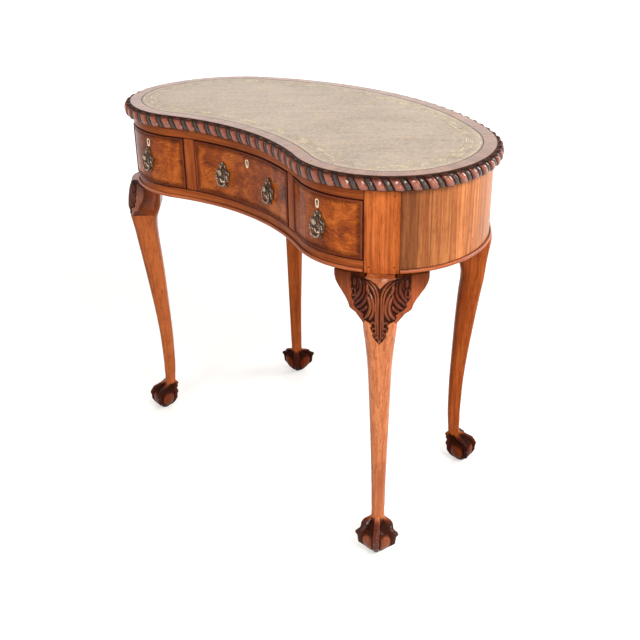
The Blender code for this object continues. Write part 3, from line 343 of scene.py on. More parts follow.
class Shell:
    """A closed body put together from grids of points that are welded where they meet."""

    def __init__(self, name: str) -> None:
        """Start an empty body.

        Args:
            name: Name of its piece.
        """
        self.name = name
        self.points: list[Array] = []
        self.faces: list[tuple[int, ...]] = []
        self.marks: dict[str, list[Array]] = {}
        self.count = 0

    def _store(self, points: Array, marks: Marks) -> int:
        """Keep points with their marks.

        Args:
            points: The points.
            marks: Values over them, by name.

        Returns:
            The number of the first point.
        """
        first = self.count
        flat = points.reshape(-1, 3)
        for name, values in marks.items():
            values = np.asarray(values, float)
            size = 3 if values.ndim == points.ndim and values.shape[-1] == 3 else 1
            values = np.broadcast_to(values, points.shape[:-1] + ((3,) if size == 3 else ()))
            held = self.marks.setdefault(name, [])
            if not held and first:
                held.append(np.zeros((first, size)))
            held.append(values.reshape(-1, size))
        for name, held in self.marks.items():
            if name not in marks:
                held.append(np.zeros((len(flat), held[0].shape[1])))
        self.points.append(flat)
        self.count += len(flat)
        return first

    def grid(self, points: Array, wrap: bool = False, close: bool = False,
             **marks: Array) -> "Shell":
        """Add a grid of points.

        Args:
            points: Rows and columns of points.
            wrap: Whether the last column joins the first.
            close: Whether the last row joins the first.
            marks: Values over the surface that the finishes read.

        Returns:
            The same body.
        """
        rows, columns = points.shape[:2]
        first = self._store(points, marks)
        number = np.arange(rows * columns).reshape(rows, columns) + first
        if wrap:
            number = np.concatenate([number, number[:, :1]], 1)
        if close:
            number = np.concatenate([number, number[:1]], 0)
        quads = np.stack([number[:-1, :-1], number[:-1, 1:], number[1:, 1:],
                          number[1:, :-1]], -1)
        self.faces += [tuple(q) for q in quads.reshape(-1, 4).tolist()]
        return self

    def fill(self, ring: Array, **marks: Array) -> "Shell":
        """Add one flat face over a ring of points.

        Args:
            ring: The points.
            marks: Values over them that the finishes read.

        Returns:
            The same body.
        """
        first = self._store(ring, marks)
        self.faces.append(tuple(range(first, first + len(ring))))
        return self

    def tube(self, rings: Array, **marks: Array) -> "Shell":
        """Add a tube through closed rings, with both ends filled.

        Args:
            rings: One row of points for each ring.
            marks: Values over the surface that the finishes read.

        Returns:
            The same body.
        """
        self.grid(rings, wrap=True, **marks)
        for row in (0, -1):
            self.fill(rings[row], **{k: np.broadcast_to(
                np.asarray(m, float), rings.shape[:2] + np.asarray(m).shape[2:])[row]
                for k, m in marks.items()})
        return self

    def build(self, sharp: float = 35.0) -> Piece:
        """Make the object.

        Args:
            sharp: Least angle in degrees of an edge that stays crisp.

        Returns:
            The new object, linked to the scene.
        """
        mesh = bpy.data.meshes.new(self.name)
        mesh.from_pydata(np.concatenate(self.points).tolist(), [], self.faces)
        corner = np.empty(len(mesh.loops), np.int32)
        mesh.loops.foreach_get("vertex_index", corner)
        for name, held in self.marks.items():
            values = np.concatenate(held)
            kind = "FLOAT_VECTOR" if values.shape[1] == 3 else "FLOAT"
            layer = mesh.attributes.new(name, kind, "CORNER")
            key = "vector" if kind == "FLOAT_VECTOR" else "value"
            layer.data.foreach_set(key, values[corner].astype(np.float32).ravel())
        work = bmesh.new()
        work.from_mesh(mesh)
        bmesh.ops.remove_doubles(work, verts=work.verts, dist=WELD)
        bmesh.ops.dissolve_degenerate(work, edges=work.edges, dist=WELD)
        bmesh.ops.recalc_face_normals(work, faces=work.faces)
        work.to_mesh(mesh)
        work.free()
        mesh.shade_smooth()
        mesh.set_sharp_from_angle(angle=math.radians(sharp))
        piece = bpy.data.objects.new(self.name, mesh)
        bpy.context.scene.collection.objects.link(piece)
        return piece


def carve_out(piece: Piece, cutters: list[Piece]) -> Piece:
    """Cut shapes out of a piece and remove the cutters.

    Args:
        piece: The object that loses the shapes.
        cutters: Closed objects.

    Returns:
        The same object with its new mesh.
    """
    for cutter in cutters:
        step = piece.modifiers.new("cut", "BOOLEAN")
        step.operation = "DIFFERENCE"
        step.solver = "EXACT"
        step.object = cutter
    graph = bpy.context.evaluated_depsgraph_get()
    mesh = bpy.data.meshes.new_from_object(piece.evaluated_get(graph))
    piece.modifiers.clear()
    piece.data = mesh
    for cutter in cutters:
        bpy.data.objects.remove(cutter, do_unlink=True)
    mesh.shade_smooth()
    mesh.set_sharp_from_angle(angle=math.radians(35))
    return piece


def block(name: str, low: Triple, high: Triple) -> Piece:
    """Box used as a cutter.

    Args:
        name: Its name.
        low: Its lowest corner.
        high: Its highest corner.

    Returns:
        The new object.
    """
    (x0, y0, z0), (x1, y1, z1) = low, high
    ring = np.array([(x0, y0), (x1, y0), (x1, y1), (x0, y1)])
    rings = np.stack([np.column_stack([ring, np.full(4, z)]) for z in (z0, z1)])
    return Shell(name).tube(rings).build()


def prism(name: str, ring: Array, depth: Array) -> Piece:
    """Cutter with one outline, drawn along a vector.

    Args:
        name: Name of the object.
        ring: The outline's points.
        depth: Vector from one end to the other.

    Returns:
        The new object.
    """
    return Shell(name).tube(np.stack([ring, ring + depth])).build()


def above(value: Array, level: Array | float, reach: float) -> Array:
    """How far values lie above a level, as a share of reach from 0 to 1."""
    return np.clip((value - level) / reach, 0.0, 1.0)


def below(value: Array, level: Array | float, reach: float) -> Array:
    """How far values lie below a level, as a share of reach from 0 to 1."""
    return np.clip((level - value) / reach, 0.0, 1.0)


def hump(value: Array, middle: float, width: float) -> Array:
    """Smooth rise to 1 at the middle."""
    return np.exp(-((value - middle) / width) ** 2)


def full_turn(count: int) -> Array:
    """Angles that share a full turn evenly."""
    return np.linspace(0, 2 * np.pi, count, endpoint=False)


def raised(plan: Array, height: Array) -> Array:
    """Points over places of the plan, each at its own height."""
    return np.concatenate([plan, height[..., None]], -1)


class Grain(Enum):
    """Which way the grain of a board runs."""

    ALONG = "along the outline"
    UP = "upright"
    OUT = "square to the outline"


def grain_place(way: Grain, distance: Array, offset: Array, height: Array,
                board: float) -> Array:
    """Place in a board's own wood, with y along the grain.

    Args:
        way: Which way the grain runs.
        distance: Distance along the outline.
        offset: Distance outwards.
        height: Height.
        board: Number that sets this board's figure apart from the others.

    Returns:
        The places, with x, y and z as the last axis.
    """
    if way is Grain.ALONG:
        return np.stack([height, distance, offset + board], -1)
    if way is Grain.UP:
        return np.stack([distance, height + board, offset], -1)
    return np.stack([distance + board, offset, height], -1)


def strip(distance: Array, section: Array) -> tuple[Array, Array, Array, Array]:
    """Grid of a section that is drawn along the outline.

    Args:
        distance: Distances along the outline.
        section: Offsets and heights of the section's corners.

    Returns:
        The distance, offset and height of each point, and the points.
    """
    far, reach = np.broadcast_arrays(distance[:, None], section[None, :, 0])
    height = np.broadcast_to(section[None, :, 1], far.shape)
    return far, reach, height, raised(PLAN.spot(far, reach)[0], height)


def sweep(name: str, distance: Array, section: Array, way: Grain, board: float,
          shade_and_grime: Array | float = 0.0) -> Shell:
    """Body with one section, drawn along the outline.

    Args:
        name: Name of the piece.
        distance: Distances along the outline.
        section: Offsets and heights of the section's corners.
        way: Which way the grain runs.
        board: Number that sets this board's figure apart.
        shade_and_grime: How much painted shade and grime lies at each corner of the section.

    Returns:
        The body.
    """
    far, reach, height, points = strip(distance, section)
    grain = grain_place(way, far, reach, height, board)
    return Shell(name).tube(points, grain=grain, hollow=np.broadcast_to(shade_and_grime, far.shape))


def face_sweep(name: str, x: Array, section: Array, way: Grain, board: float,
               shade_and_grime: Array | None = None) -> Shell:
    """Body with one section, drawn along the drawer front and cut square to X.

    Args:
        name: Name of the piece.
        x: The x values of its columns.
        section: Offsets and heights of the section's corners.
        way: Which way the grain runs.
        board: Number that sets this board's figure apart.
        shade_and_grime: How much painted shade and grime lies at each column of each corner.

    Returns:
        The body.
    """
    rings, grains = [], []
    for offset, height in section:
        y = PLAN.face_y(x, offset)
        rings.append(np.stack([x, y, np.full_like(x, height)], -1))
        grains.append(grain_place(way, x, np.full_like(x, offset),
                                  np.full_like(x, height), board))
    shade_width = np.zeros((len(x), len(section))) if shade_and_grime is None else shade_and_grime
    return Shell(name).tube(np.stack(rings, 1), grain=np.stack(grains, 1), hollow=shade_width)


def edge_shading(values: Array, low: float, high: float, reach: float) -> Array:
    """Painted shade and grime that fade from 1 at two edges to 0 at a reach from them."""
    near = np.minimum(values - low, high - values)
    return np.clip(2 - 2 * near / reach, 0.0, 1.0)


@dataclass
class TopBoard:
    """The top board with its cross-banded border, and the leather laid in it."""

    columns: int = 420
    band_pieces: int = 26
    recess: float = 0.0014
    leather_thickness: float = 0.001
    edge_round: float = 0.0012
    band_figure: float = 0.37
    shade_width: float = 0.0022
    ring_step: float = 0.0025
    ring_reach: float = 0.075

    def distances(self) -> Array:
        """Distances of the columns all the way round."""
        total = 2 * PLAN.half_length()
        return np.arange(self.columns) * total / self.columns

    def build_board(self) -> Piece:
        """Make the board.

        Returns:
            The new object.
        """
        outer, inner = DESK.overhang, DESK.overhang - DESK.leather_border
        top, low, r = DESK.height, DESK.board_underside, self.edge_round
        shade_width = self.shade_width
        section = np.array([
            (inner, top - self.recess), (inner, top - r / 4), (inner + r / 4, top),
            (inner + shade_width, top), (inner + 2 * shade_width, top), (outer - 2 * shade_width, top),
            (outer - shade_width, top), (outer - r, top), (outer - r * 0.3, top - r * 0.3),
            (outer, top - r), (outer, low)])
        far, reach, height, points = strip(self.distances(), section)
        share = far / (2 * PLAN.half_length()) * self.band_pieces
        grain = grain_place(Grain.OUT, far, reach, height, 0.0)
        grain[..., 2] += np.floor(share) * self.band_figure
        # The edge mark paints shade along the border's two edges, by the leather and by the
        # gadroon.
        edge = np.clip(1 - np.minimum(reach - inner, outer - reach) / shade_width, 0.0, 1.0)
        shell = Shell("top_board_dressed").grid(points.transpose(1, 0, 2), wrap=True,
                                                grain=grain.transpose(1, 0, 2),
                                                joint=(share % 1.0).T, edge=edge.T)
        shell.fill(points[:, 0], grain=grain[:, 0]).fill(points[:, -1], grain=grain[:, -1])
        return shell.build()

    def build_leather(self) -> Piece:
        """Make the leather panel, with rings that carry the distance from its edge.

        Returns:
            The new object.
        """
        low = DESK.height - self.recess + DESK.fit_gap
        high = low + self.leather_thickness
        rim = DESK.overhang - DESK.leather_border - DESK.fit_gap
        reach = rim - np.arange(0.0, self.ring_reach, self.ring_step)
        offset, far = np.meshgrid(reach, self.distances(), indexing="ij")
        points = raised(PLAN.spot(far, offset)[0], np.full(far.shape, high))
        under = points[0].copy()
        under[:, 2] = low
        shell = Shell("leather_dressed")
        marks = {"inset": rim - offset, "along": far}
        shell.grid(points, wrap=True, **marks)
        shell.grid(np.stack([under, points[0]]), wrap=True)
        shell.fill(points[-1], inset=np.full(self.columns, self.ring_reach))
        shell.fill(under)
        return shell.build()


@dataclass
class Gadroon:
    """Carved edge moulding of leaning lobes and reeds."""

    lobes: int = 78
    reach: float = 0.0125
    depth: float = 0.025
    lean: float = 0.013
    bow: float = 0.0022
    top_drop: float = 0.0015
    relief: float = 0.0003
    front_share: float = 0.375
    lobe_share: float = 0.60
    dome_power: float = 2.1
    reed_foot: float = 0.10
    reed_height: float = 0.46
    shade_power: float = 3.2
    reed_shade: float = 0.25
    end_shades: Path = ((0.20, 0.20), (0.78, 0.18))
    end_strength: float = 1.5
    columns: int = 26
    rows: int = 19
    lobe_shares: Path = (
        (0.0, 0.0), (0.30, 0.010), (0.62, 0.05), (0.92, 0.22), (1.0, 0.48), (0.96, 0.70),
        (0.66, 0.90), (0.0, 0.96))
    hollow_shares: Path = (
        (0.0, 0.0), (0.10, 0.03), (0.20, 0.12), (0.44, 0.31), (0.54, 0.54), (0.50, 0.72),
        (0.34, 0.85), (0.0, 0.92))

    def swell(self, share: Array) -> tuple[Array, Array, Array]:
        """Height and shade of the carving along one repeat.

        Args:
            share: Place along the repeat, from 0 to 1.

        Returns:
            The height, 0 in a groove and 1 on a lobe, the shade beside the grooves, and 1
            where the narrow reed is.
        """
        on_lobe = share < self.lobe_share
        t = np.where(on_lobe, share / self.lobe_share,
                     (share - self.lobe_share) / (1 - self.lobe_share))
        out = np.abs(2 * t - 1)
        dome = np.sqrt(np.maximum(1 - out**self.dome_power, 0.0))
        shade = self.reed_shade + (1 - self.reed_shade) * out**2.0
        return (np.where(on_lobe, dome, self.reed_foot + dome * self.reed_height),
                np.where(on_lobe, out**self.shade_power, shade), (~on_lobe) * 1.0)

    def section(self, shares: Path) -> Array:
        """Smooth section through shares of the reach and the depth, one row for each row."""
        index = np.linspace(0, 1, len(shares))
        return ease(np.column_stack([index, np.array(shares)]), np.linspace(0, 1, self.rows))

    def build_length(self, name: str, first: float, count: int, pace: float,
                     pitch: float) -> Piece:
        """Make one length of the moulding.

        Args:
            name: Name of the piece.
            first: Number of the repeat where it starts.
            count: How many repeats it has.
            pace: Offset of the line on which the repeats are even.
            pitch: Length of a repeat on that line.

        Returns:
            The new object.
        """
        lobe, hollow = self.section(self.lobe_shares), self.section(self.hollow_shares)
        share = np.arange(count * self.columns + 1) / self.columns
        swell, shade, reed = self.swell(share % 1.0)
        distance = pitch * (first + share)
        distance[0] += DESK.fit_gap / 2
        distance[-1] -= DESK.fit_gap / 2
        shape = hollow[None] + (lobe - hollow)[None] * swell[:, None, None]
        reach = shape[..., 0] * (self.reach - self.relief)
        drop = shape[..., 1] * self.depth
        fall = drop / self.depth
        far = distance[:, None] + self.lean * (fall - 0.5) + self.bow * np.sin(fall * math.pi)
        inner, top = DESK.overhang + DESK.fit_gap, DESK.height - self.top_drop
        points = raised(PLAN.spot(far, inner + reach, pace)[0], top - drop)
        # Painted shade on the lobes' flanks, head and foot goes into the hollow mark.
        (high, high_reach), (low, low_reach) = self.end_shades
        ends = np.maximum((high - fall) / high_reach, (fall - low) / low_reach)
        ends = np.clip(self.end_strength * ends, 0.0, 1.0)
        shell = Shell(name).tube(points, grain=grain_place(Grain.ALONG, far, reach, -drop, first),
                                 hollow=np.maximum(shade[:, None], ends),
                                 reed=np.broadcast_to(reed[:, None], drop.shape))
        return shell.build(60)

    def build(self) -> list[Piece]:
        """Make the front and the back length.

        Returns:
            The two new objects.
        """
        pace = DESK.overhang + self.reach * 2 / 3
        half = PLAN.half_length(pace)
        pitch = 2 * half / self.lobes
        front = 2 * round(half * self.front_share / pitch)
        return [self.build_length("gadroon_front_dressed", -front / 2, front, pace, pitch),
                self.build_length("gadroon_back_dressed", front / 2, self.lobes - front, pace,
                                  pitch)]


@dataclass
class Rails:
    """Upper and lower front rails and the dividers between the drawers."""

    step: float = 0.006
    bolt_width: float = 0.016
    bolt_thickness: float = 0.005
    bolt_play: float = 0.001
    mortise_depth: float = 0.008
    front_thickness: float = 0.020
    lock_depth: float = 0.009
    arris: float = 0.0006
    shade_width: float = 0.0024
    corners: int = 10
    edge_corners: int = 4

    def columns(self, low: float, high: float) -> Array:
        """The x values of the columns between two ends."""
        return np.linspace(low, high, max(2, round((high - low) / self.step)))

    def section(self, low: float, high: float) -> Array:
        """Section of a rail, with its front edges eased.

        Args:
            low: Height of its underside.
            high: Height of its top.

        Returns:
            Points of reach and height.
        """
        back, r, shade_width = -DESK.rail_depth, self.arris, self.shade_width
        return np.array([(back, low), (-r, low), (0.0, low + r), (0.0, low + shade_width / 2),
                         (0.0, low + shade_width), (0.0, high - shade_width), (0.0, high - shade_width / 2),
                         (0.0, high - r), (-r, high), (back, high)])

    def edges(self, x: Array, low: float, high: float) -> Array:
        """Painted shadow of the drawer gap along the edges of a rail that face a drawer.

        Args:
            x: Columns of the rail.
            low: Painted shadow on its lower edge.
            high: Painted shadow on its upper edge.

        Returns:
            The painted shadow of each column and corner.
        """
        shade_and_grime = np.zeros((len(x), self.corners))
        shade_and_grime[:, :self.edge_corners] = low
        shade_and_grime[:, -self.edge_corners:] = high
        return shade_and_grime

    def build(self) -> dict[str, Piece]:
        """Make the rails and dividers.

        Returns:
            The new objects by the CAD node that each stands for.
        """
        reach = DESK.post_face - DESK.fit_gap
        x = self.columns(-reach, reach)
        # Both rails get painted shadow along the edges that face the drawers.
        upper = face_sweep("upper_front_rail_dressed", x,
                           self.section(DESK.opening_high, DESK.carcase_top), Grain.ALONG, 3.1,
                           self.edges(x, 1.0, 0.8))
        lower = face_sweep("lower_front_rail_dressed", x,
                           self.section(DESK.carcase_underside, DESK.opening_low),
                           Grain.ALONG, 5.3, self.edges(x, 0.3, 1.0))
        made = {"upper_front_rail": upper.build(), "lower_front_rail": lower.build()}
        cutters = []
        half_x = self.bolt_width / 2 + self.bolt_play
        half_y = self.bolt_thickness / 2 + self.bolt_play
        low, high = (DESK.opening_high - self.mortise_depth,
                     DESK.opening_high + self.mortise_depth)
        for key_x in (-DESK.keyhole_x, 0.0, DESK.keyhole_x):
            middle = float(PLAN.face_y(key_x)) + self.front_thickness - self.lock_depth / 2
            cutters.append(block("bolt_mortise", (key_x - half_x, middle - half_y, low),
                                 (key_x + half_x, middle + half_y, high)))
        carve_out(made["upper_front_rail"], cutters)
        section = self.section(DESK.opening_low + DESK.fit_gap, DESK.opening_high - DESK.fit_gap)
        steps = np.array([0.5, 1.0]) * self.shade_width
        for side, word in SIDES:
            ends = sorted((side * DESK.centre_half, side * (DESK.centre_half + DESK.divider)))
            x = np.sort(np.concatenate([self.columns(*ends), ends[0] + steps, ends[1] - steps]))
            # Painted shadow of the drawer gaps darkens the dividers' edges.
            shade_and_grime = np.repeat(edge_shading(x, *ends, self.shade_width)[:, None], self.corners, 1)
            made[f"{word}_divider"] = face_sweep(f"{word}_divider_dressed", x, section,
                                                 Grain.UP, 7.0 + side, shade_and_grime).build()
        return made


@dataclass
class Frieze:
    """Curved frieze from post to post round the back, with its base bead."""

    step: float = 0.006
    bead_height: float = 0.008
    bead_reach: float = 0.0045
    bead_rows: int = 11
    bead_shade: Pair = (0.8, 0.5)
    leaf_width: float = 0.100
    leaf_figure: float = 0.31
    seam_step: float = 0.0016
    side_seams: tuple[float, ...] = (0.4470, 0.4699, 0.5105, 0.5860, 0.6640, 0.7420)
    tones: tuple[float, ...] = (0.05, 0.52, 0.62, 0.95, 0.70, 0.88, 0.60, 0.80)

    def columns(self, start: float, end: float) -> Array:
        """Distances of the columns between two ends."""
        return np.linspace(start, end, max(2, round((end - start) / self.step)))

    def seams(self, start: float, end: float) -> Array:
        """Distances of the joints between the veneer leaves.

        Args:
            start: Distance where the length starts.
            end: Distance where it ends.

        Returns:
            The distances, ends included.
        """
        half = PLAN.half_length()
        if start > half:
            return 2 * half - self.seams(2 * half - end, 2 * half - start)[::-1]
        if end < half:
            return np.array([start, *self.side_seams, end])
        return np.linspace(start, end, round((end - start) / self.leaf_width) + 1)

    def leaves(self, start: float, end: float) -> tuple[Array, ...]:
        """Columns of a veneered length, with two at each joint between leaves.

        Args:
            start: Distance where it starts.
            end: Distance where it ends.

        Returns:
            The distances, the tone of each column's leaf, the place across it, and the
            distance from the nearest joint.
        """
        columns = []
        seams = self.seams(start, end)
        for number, (low, high) in enumerate(zip(seams, seams[1:])):
            run = np.linspace(low, high, max(5, round((high - low) / self.step)))
            run = np.sort(np.append(run, [low + self.seam_step, high - self.seam_step]))
            across = run - low if number % 2 else high - run
            tone = self.tones[number % len(self.tones)]
            gap = np.minimum(run - low, high - run)
            across = across + self.leaf_figure * number
            columns.append(np.stack([run, np.full_like(run, tone), across, gap]))
        return tuple(np.concatenate(columns, 1))

    def build(self) -> dict[str, Piece]:
        """Make the three lengths of frieze and the two of bead.

        Returns:
            The new objects by the CAD node that each stands for.
        """
        total = 2 * PLAN.half_length()
        gap, rear = DESK.fit_gap, DESK.rear_station
        made = {}
        lengths = (("right_frieze", DESK.post_end + gap, rear - gap / 2),
                   ("back_frieze", rear + gap / 2, total - rear - gap / 2),
                   ("left_frieze", total - rear + gap / 2, total - DESK.post_end - gap))
        back = -DESK.frieze_thickness
        section = np.array([(back, DESK.carcase_underside), (0.0, DESK.carcase_underside),
                            (0.0, DESK.carcase_top), (back, DESK.carcase_top)])
        for name, start, end in lengths:
            distance, tone, across, seam = self.leaves(start, end)
            far, reach, height, points = strip(distance, section)
            local, tone, seam = (np.broadcast_to(a[:, None], far.shape)
                                 for a in (across, tone, seam))
            grain = grain_place(Grain.UP, local, reach, height, 0.0)
            shell = Shell(f"{name}_dressed").tube(points, grain=grain, leaf=tone, seam=seam)
            made[name] = shell.build()
        half = self.bead_height / 2
        middle = DESK.carcase_underside + half
        turn = np.linspace(-math.pi / 2, math.pi / 2, self.bead_rows)
        round_section = np.column_stack([gap + (self.bead_reach - gap) * np.cos(turn),
                                         middle + half * np.sin(turn)])
        # Painted shade darkens the bead's top and bottom, where it meets the frieze and the
        # underside.
        shade_and_grime = above(np.abs(turn), *self.bead_shade)
        for name, start, end in (
                ("base_bead_front", -DESK.post_start + gap, DESK.post_start - gap),
                ("base_bead_back", DESK.post_end + gap, total - DESK.post_end - gap)):
            made[name] = sweep(f"{name}_dressed", self.columns(start, end), round_section,
                               Grain.ALONG, 11.0, shade_and_grime).build()
        return made


@dataclass(frozen=True)
class Stance:
    """Where a leg stands: its reference point, outward angle and hand."""

    x: float
    y: float
    direction: float
    side: int

    def place(self, u: Array, v: Array, z: Array) -> Array:
        """World points for places in the leg's own frame.

        Args:
            u: Reach outwards.
            v: Place sideways.
            z: Height.

        Returns:
            The points.
        """
        u, v, z = np.broadcast_arrays(u, v, z)
        c, s = math.cos(self.direction), math.sin(self.direction)
        return np.stack([(self.x + c * u - s * v) * self.side, self.y + s * u + c * v, z], -1)


def front_stance(side: int) -> Stance:
    """Stance of a front leg, square to the middle of its post."""
    point, ray = PLAN.spot((DESK.post_start + DESK.post_end) / 2)
    return Stance(float(point[0]), float(point[1]), math.atan2(ray[1], ray[0]), side)


def rear_stance(side: int, degrees: float = 48.0, outset: float = 0.0143) -> Stance:
    """Stance of a rear leg, set out beyond the frieze.

    Args:
        side: Side of the desk, -1 or 1.
        degrees: Its outward angle.
        outset: How far out it is set along that angle.

    Returns:
        The stance.
    """
    point = PLAN.spot(DESK.rear_station)[0]
    angle = math.radians(degrees)
    return Stance(float(point[0]) + outset * math.cos(angle),
                  float(point[1]) + outset * math.sin(angle), angle, side)


@dataclass(frozen=True)
class KneeForm:
    """Front of a carved knee, which the leg and the ears beside it share, in metres."""

    reach: float = 0.031
    half_width: float = 0.0268
    span: float = 0.081
    tip_reach: float = 0.005
    front_shares: tuple[tuple[float, ...], ...] = (
        (1.000, 0.60, 0.955, 1.000), (0.974, 0.74, 0.955, 1.000), (0.941, 0.90, 0.943, 1.000),
        (0.899, 1.00, 0.900, 1.020), (0.861, 0.93, 0.740, 1.110), (0.830, 0.84, 0.615, 1.075),
        (0.775, 0.71, 0.602, 0.945), (0.690, 0.49, 0.677, 0.800), (0.600, 0.26, 0.745, 0.727),
        (0.509, 0.04, 0.791, 0.664), (0.420, -0.15, 0.832, 0.605), (0.320, -0.295, 0.866, 0.544),
        (0.210, -0.355, 0.852, 0.496), (0.170, -0.33, 0.820, 0.489))

    @property
    def shoulder(self) -> float:
        """Height of the top of the knee."""
        return DESK.carcase_underside - DESK.shoulder_quirk

    def front(self, z: Array) -> Array:
        """Reach of the middle of the knee at each height."""
        return self.reach * ease(np.array(self.front_shares), z / self.shoulder)[..., 0]

    def fall(self, v: Array, z: Array) -> Array:
        """How far the surface lies behind the middle of the knee.

        Args:
            v: Place sideways.
            z: Height.

        Returns:
            The distances.
        """
        share = np.clip(np.abs(v) / self.span, 0.0, 1.0)
        bend = PLAN.lobe_radius - np.sqrt(PLAN.lobe_radius**2 - np.clip(v**2, 0, self.span**2))
        return (self.front(z) - self.tip_reach) * (1 - (1 - share**2) ** 2) + bend


KNEE = KneeForm()


@dataclass(frozen=True)
class AcanthusCarving:
    """Leaf carving of a front knee, in millimetres across it and down from the shoulder."""

    ground: float = -0.9
    field_fade: float = 1.0
    stroke_points: int = 5
    tip: float = 0.50
    taper: float = 2.4
    plain_rise: float = 1.3
    plain_fade: float = 0.8
    head_fade: Pair = (0.5, 3.0)
    shade_height: float = 1.25
    carved_dark: float = 0.85
    plain_light: float = 0.35
    field: Path = (
        (0.0, 122.0), (5.0, 116.0), (8.5, 110.5), (12.0, 103.5), (10.8, 98.5), (14.0, 94.0),
        (15.6, 87.5), (13.8, 82.5), (18.5, 78.5), (26.5, 75.5), (29.0, 70.0), (27.5, 64.5),
        (33.0, 61.5), (41.0, 58.0), (45.5, 53.0), (44.0, 47.5), (48.5, 43.0), (50.0, 37.0),
        (48.0, 31.0), (51.0, 25.0), (50.0, 17.0), (51.5, 10.0), (51.0, -4.0))
    plain: Path = ((0.0, 17.0), (3.0, 14.5), (8.0, 9.0), (16.5, 4.0), (30.0, 1.0), (36.0, 0.0))
    strokes: tuple[tuple[Path, float, float], ...] = (
        (((2.0, 113.0), (2.5, 92.0), (2.5, 71.0), (2.5, 51.0), (2.7, 35.0), (4.4, 23.0),
          (9.6, 13.5), (18.0, 6.0)), 1.75, 2.4),
        (((5.4, 103.0), (6.0, 84.0), (6.0, 68.0), (6.1, 51.0), (6.8, 35.0), (9.8, 23.0),
          (16.0, 14.0), (25.5, 6.5)), 1.75, 2.0),
        (((16.5, 72.0), (12.5, 64.0), (10.2, 55.0), (10.6, 45.0), (13.4, 34.0), (17.5, 25.0)),
         2.6, 2.8),
        (((26.0, 72.5), (20.5, 65.0), (16.4, 55.0), (16.0, 45.5), (18.6, 36.5), (22.5, 29.0)),
         2.5, 2.6),
        (((36.5, 5.0), (33.2, 14.0), (33.6, 24.0), (38.0, 34.0), (44.5, 44.0)), 2.6, 3.0),
        (((29.0, 7.0), (27.4, 17.0), (27.8, 27.0), (31.5, 36.5), (38.0, 44.5), (42.5, 51.0)),
         2.2, 2.4),
        (((39.5, 56.0), (32.5, 50.5), (26.5, 42.5), (23.6, 33.0)), 2.4, 2.6),
        (((32.5, 60.0), (26.5, 55.5), (21.8, 48.0)), 2.1, 2.3),
        (((6.0, 84.0), (8.5, 78.0), (12.0, 77.5), (14.6, 82.0), (13.6, 87.0)), 1.5, 2.3),
        (((5.0, 93.0), (7.4, 88.5), (10.6, 89.5), (12.6, 94.0)), 1.4, 2.1),
        (((4.6, 101.0), (6.6, 97.5), (9.0, 99.5), (10.4, 103.5)), 1.3, 1.9),
        (((3.0, 110.0), (4.6, 106.0), (6.8, 110.0)), 1.3, 1.8),
        (((0.0, 121.0), (0.0, 113.0)), 2.6, 2.4),
        (((44.5, 22.0), (42.0, 31.0), (45.5, 38.0)), 1.5, 1.9),
        (((38.8, 7.0), (37.6, 15.0), (39.4, 23.0)), 1.3, 1.7),
    )
    eyes: tuple[tuple[float, float, float, float, float], ...] = (
        (43.6, 13.0, 3.1, 6.8, 3.6), (22.0, 17.5, 2.6, 6.2, 3.2), (20.0, 23.5, 2.3, 4.5, 2.6),
        (48.0, 25.5, 2.1, 2.5, 2.4), (47.2, 36.5, 2.0, 2.4, 2.2), (8.2, 104.0, 1.3, 1.5, 1.4))

    def relief(self, v: Array, w: Array) -> tuple[Array, Array, Array]:
        """Height of the carving and how deep in shade it lies.

        Args:
            v: Distance across the knee from its middle, in millimetres.
            w: Distance down from the shoulder, in millimetres.

        Returns:
            The height in millimetres, and as masks the painted shade and grime in the hollows and
            the carved field.
        """
        across = np.abs(v)
        edge = np.array(self.field)[::-1]
        limit = np.where(w > edge[-1, 1], -1.0, np.interp(w, edge[:, 1], edge[:, 0]))
        field = np.clip((limit - across) / self.field_fade + 0.5, 0.0, 1.0)
        height = np.zeros_like(across)
        for corners, half, rise in self.strokes:
            gap, share = stroke_gap(across, w, smooth_path(corners, self.stroke_points))
            taper = self.tip + self.taper * np.minimum(share, 1 - share)
            taper = np.minimum(1.0, taper)
            body = np.sqrt(np.maximum(1 - (gap / (half * taper)) ** 2, 0.0))
            height = np.maximum(height, rise * taper * body)
        for x, y, wide, tall, rise in self.eyes:
            body = np.sqrt(np.maximum(1 - ((across - x) / wide) ** 2 - ((w - y) / tall) ** 2, 0))
            height = np.maximum(height, rise * body)
        bare = np.array(self.plain)[::-1]
        side = np.interp(w, bare[:, 1], bare[:, 0], right=-2.0)
        plain = below(across, side, self.plain_fade)
        height = np.maximum(height, self.plain_rise * plain)
        # Painted shade, with some grime, darkens the carving's hollows, deepest where the relief
        # is lowest.
        hollow = np.clip(1.0 - height / self.shade_height, 0.0, 1.0) * field
        rise = (height + self.ground) * field * above(w, *self.head_fade)
        return rise, hollow, field * (self.carved_dark - self.plain_light * plain)


CARVING = AcanthusCarving()


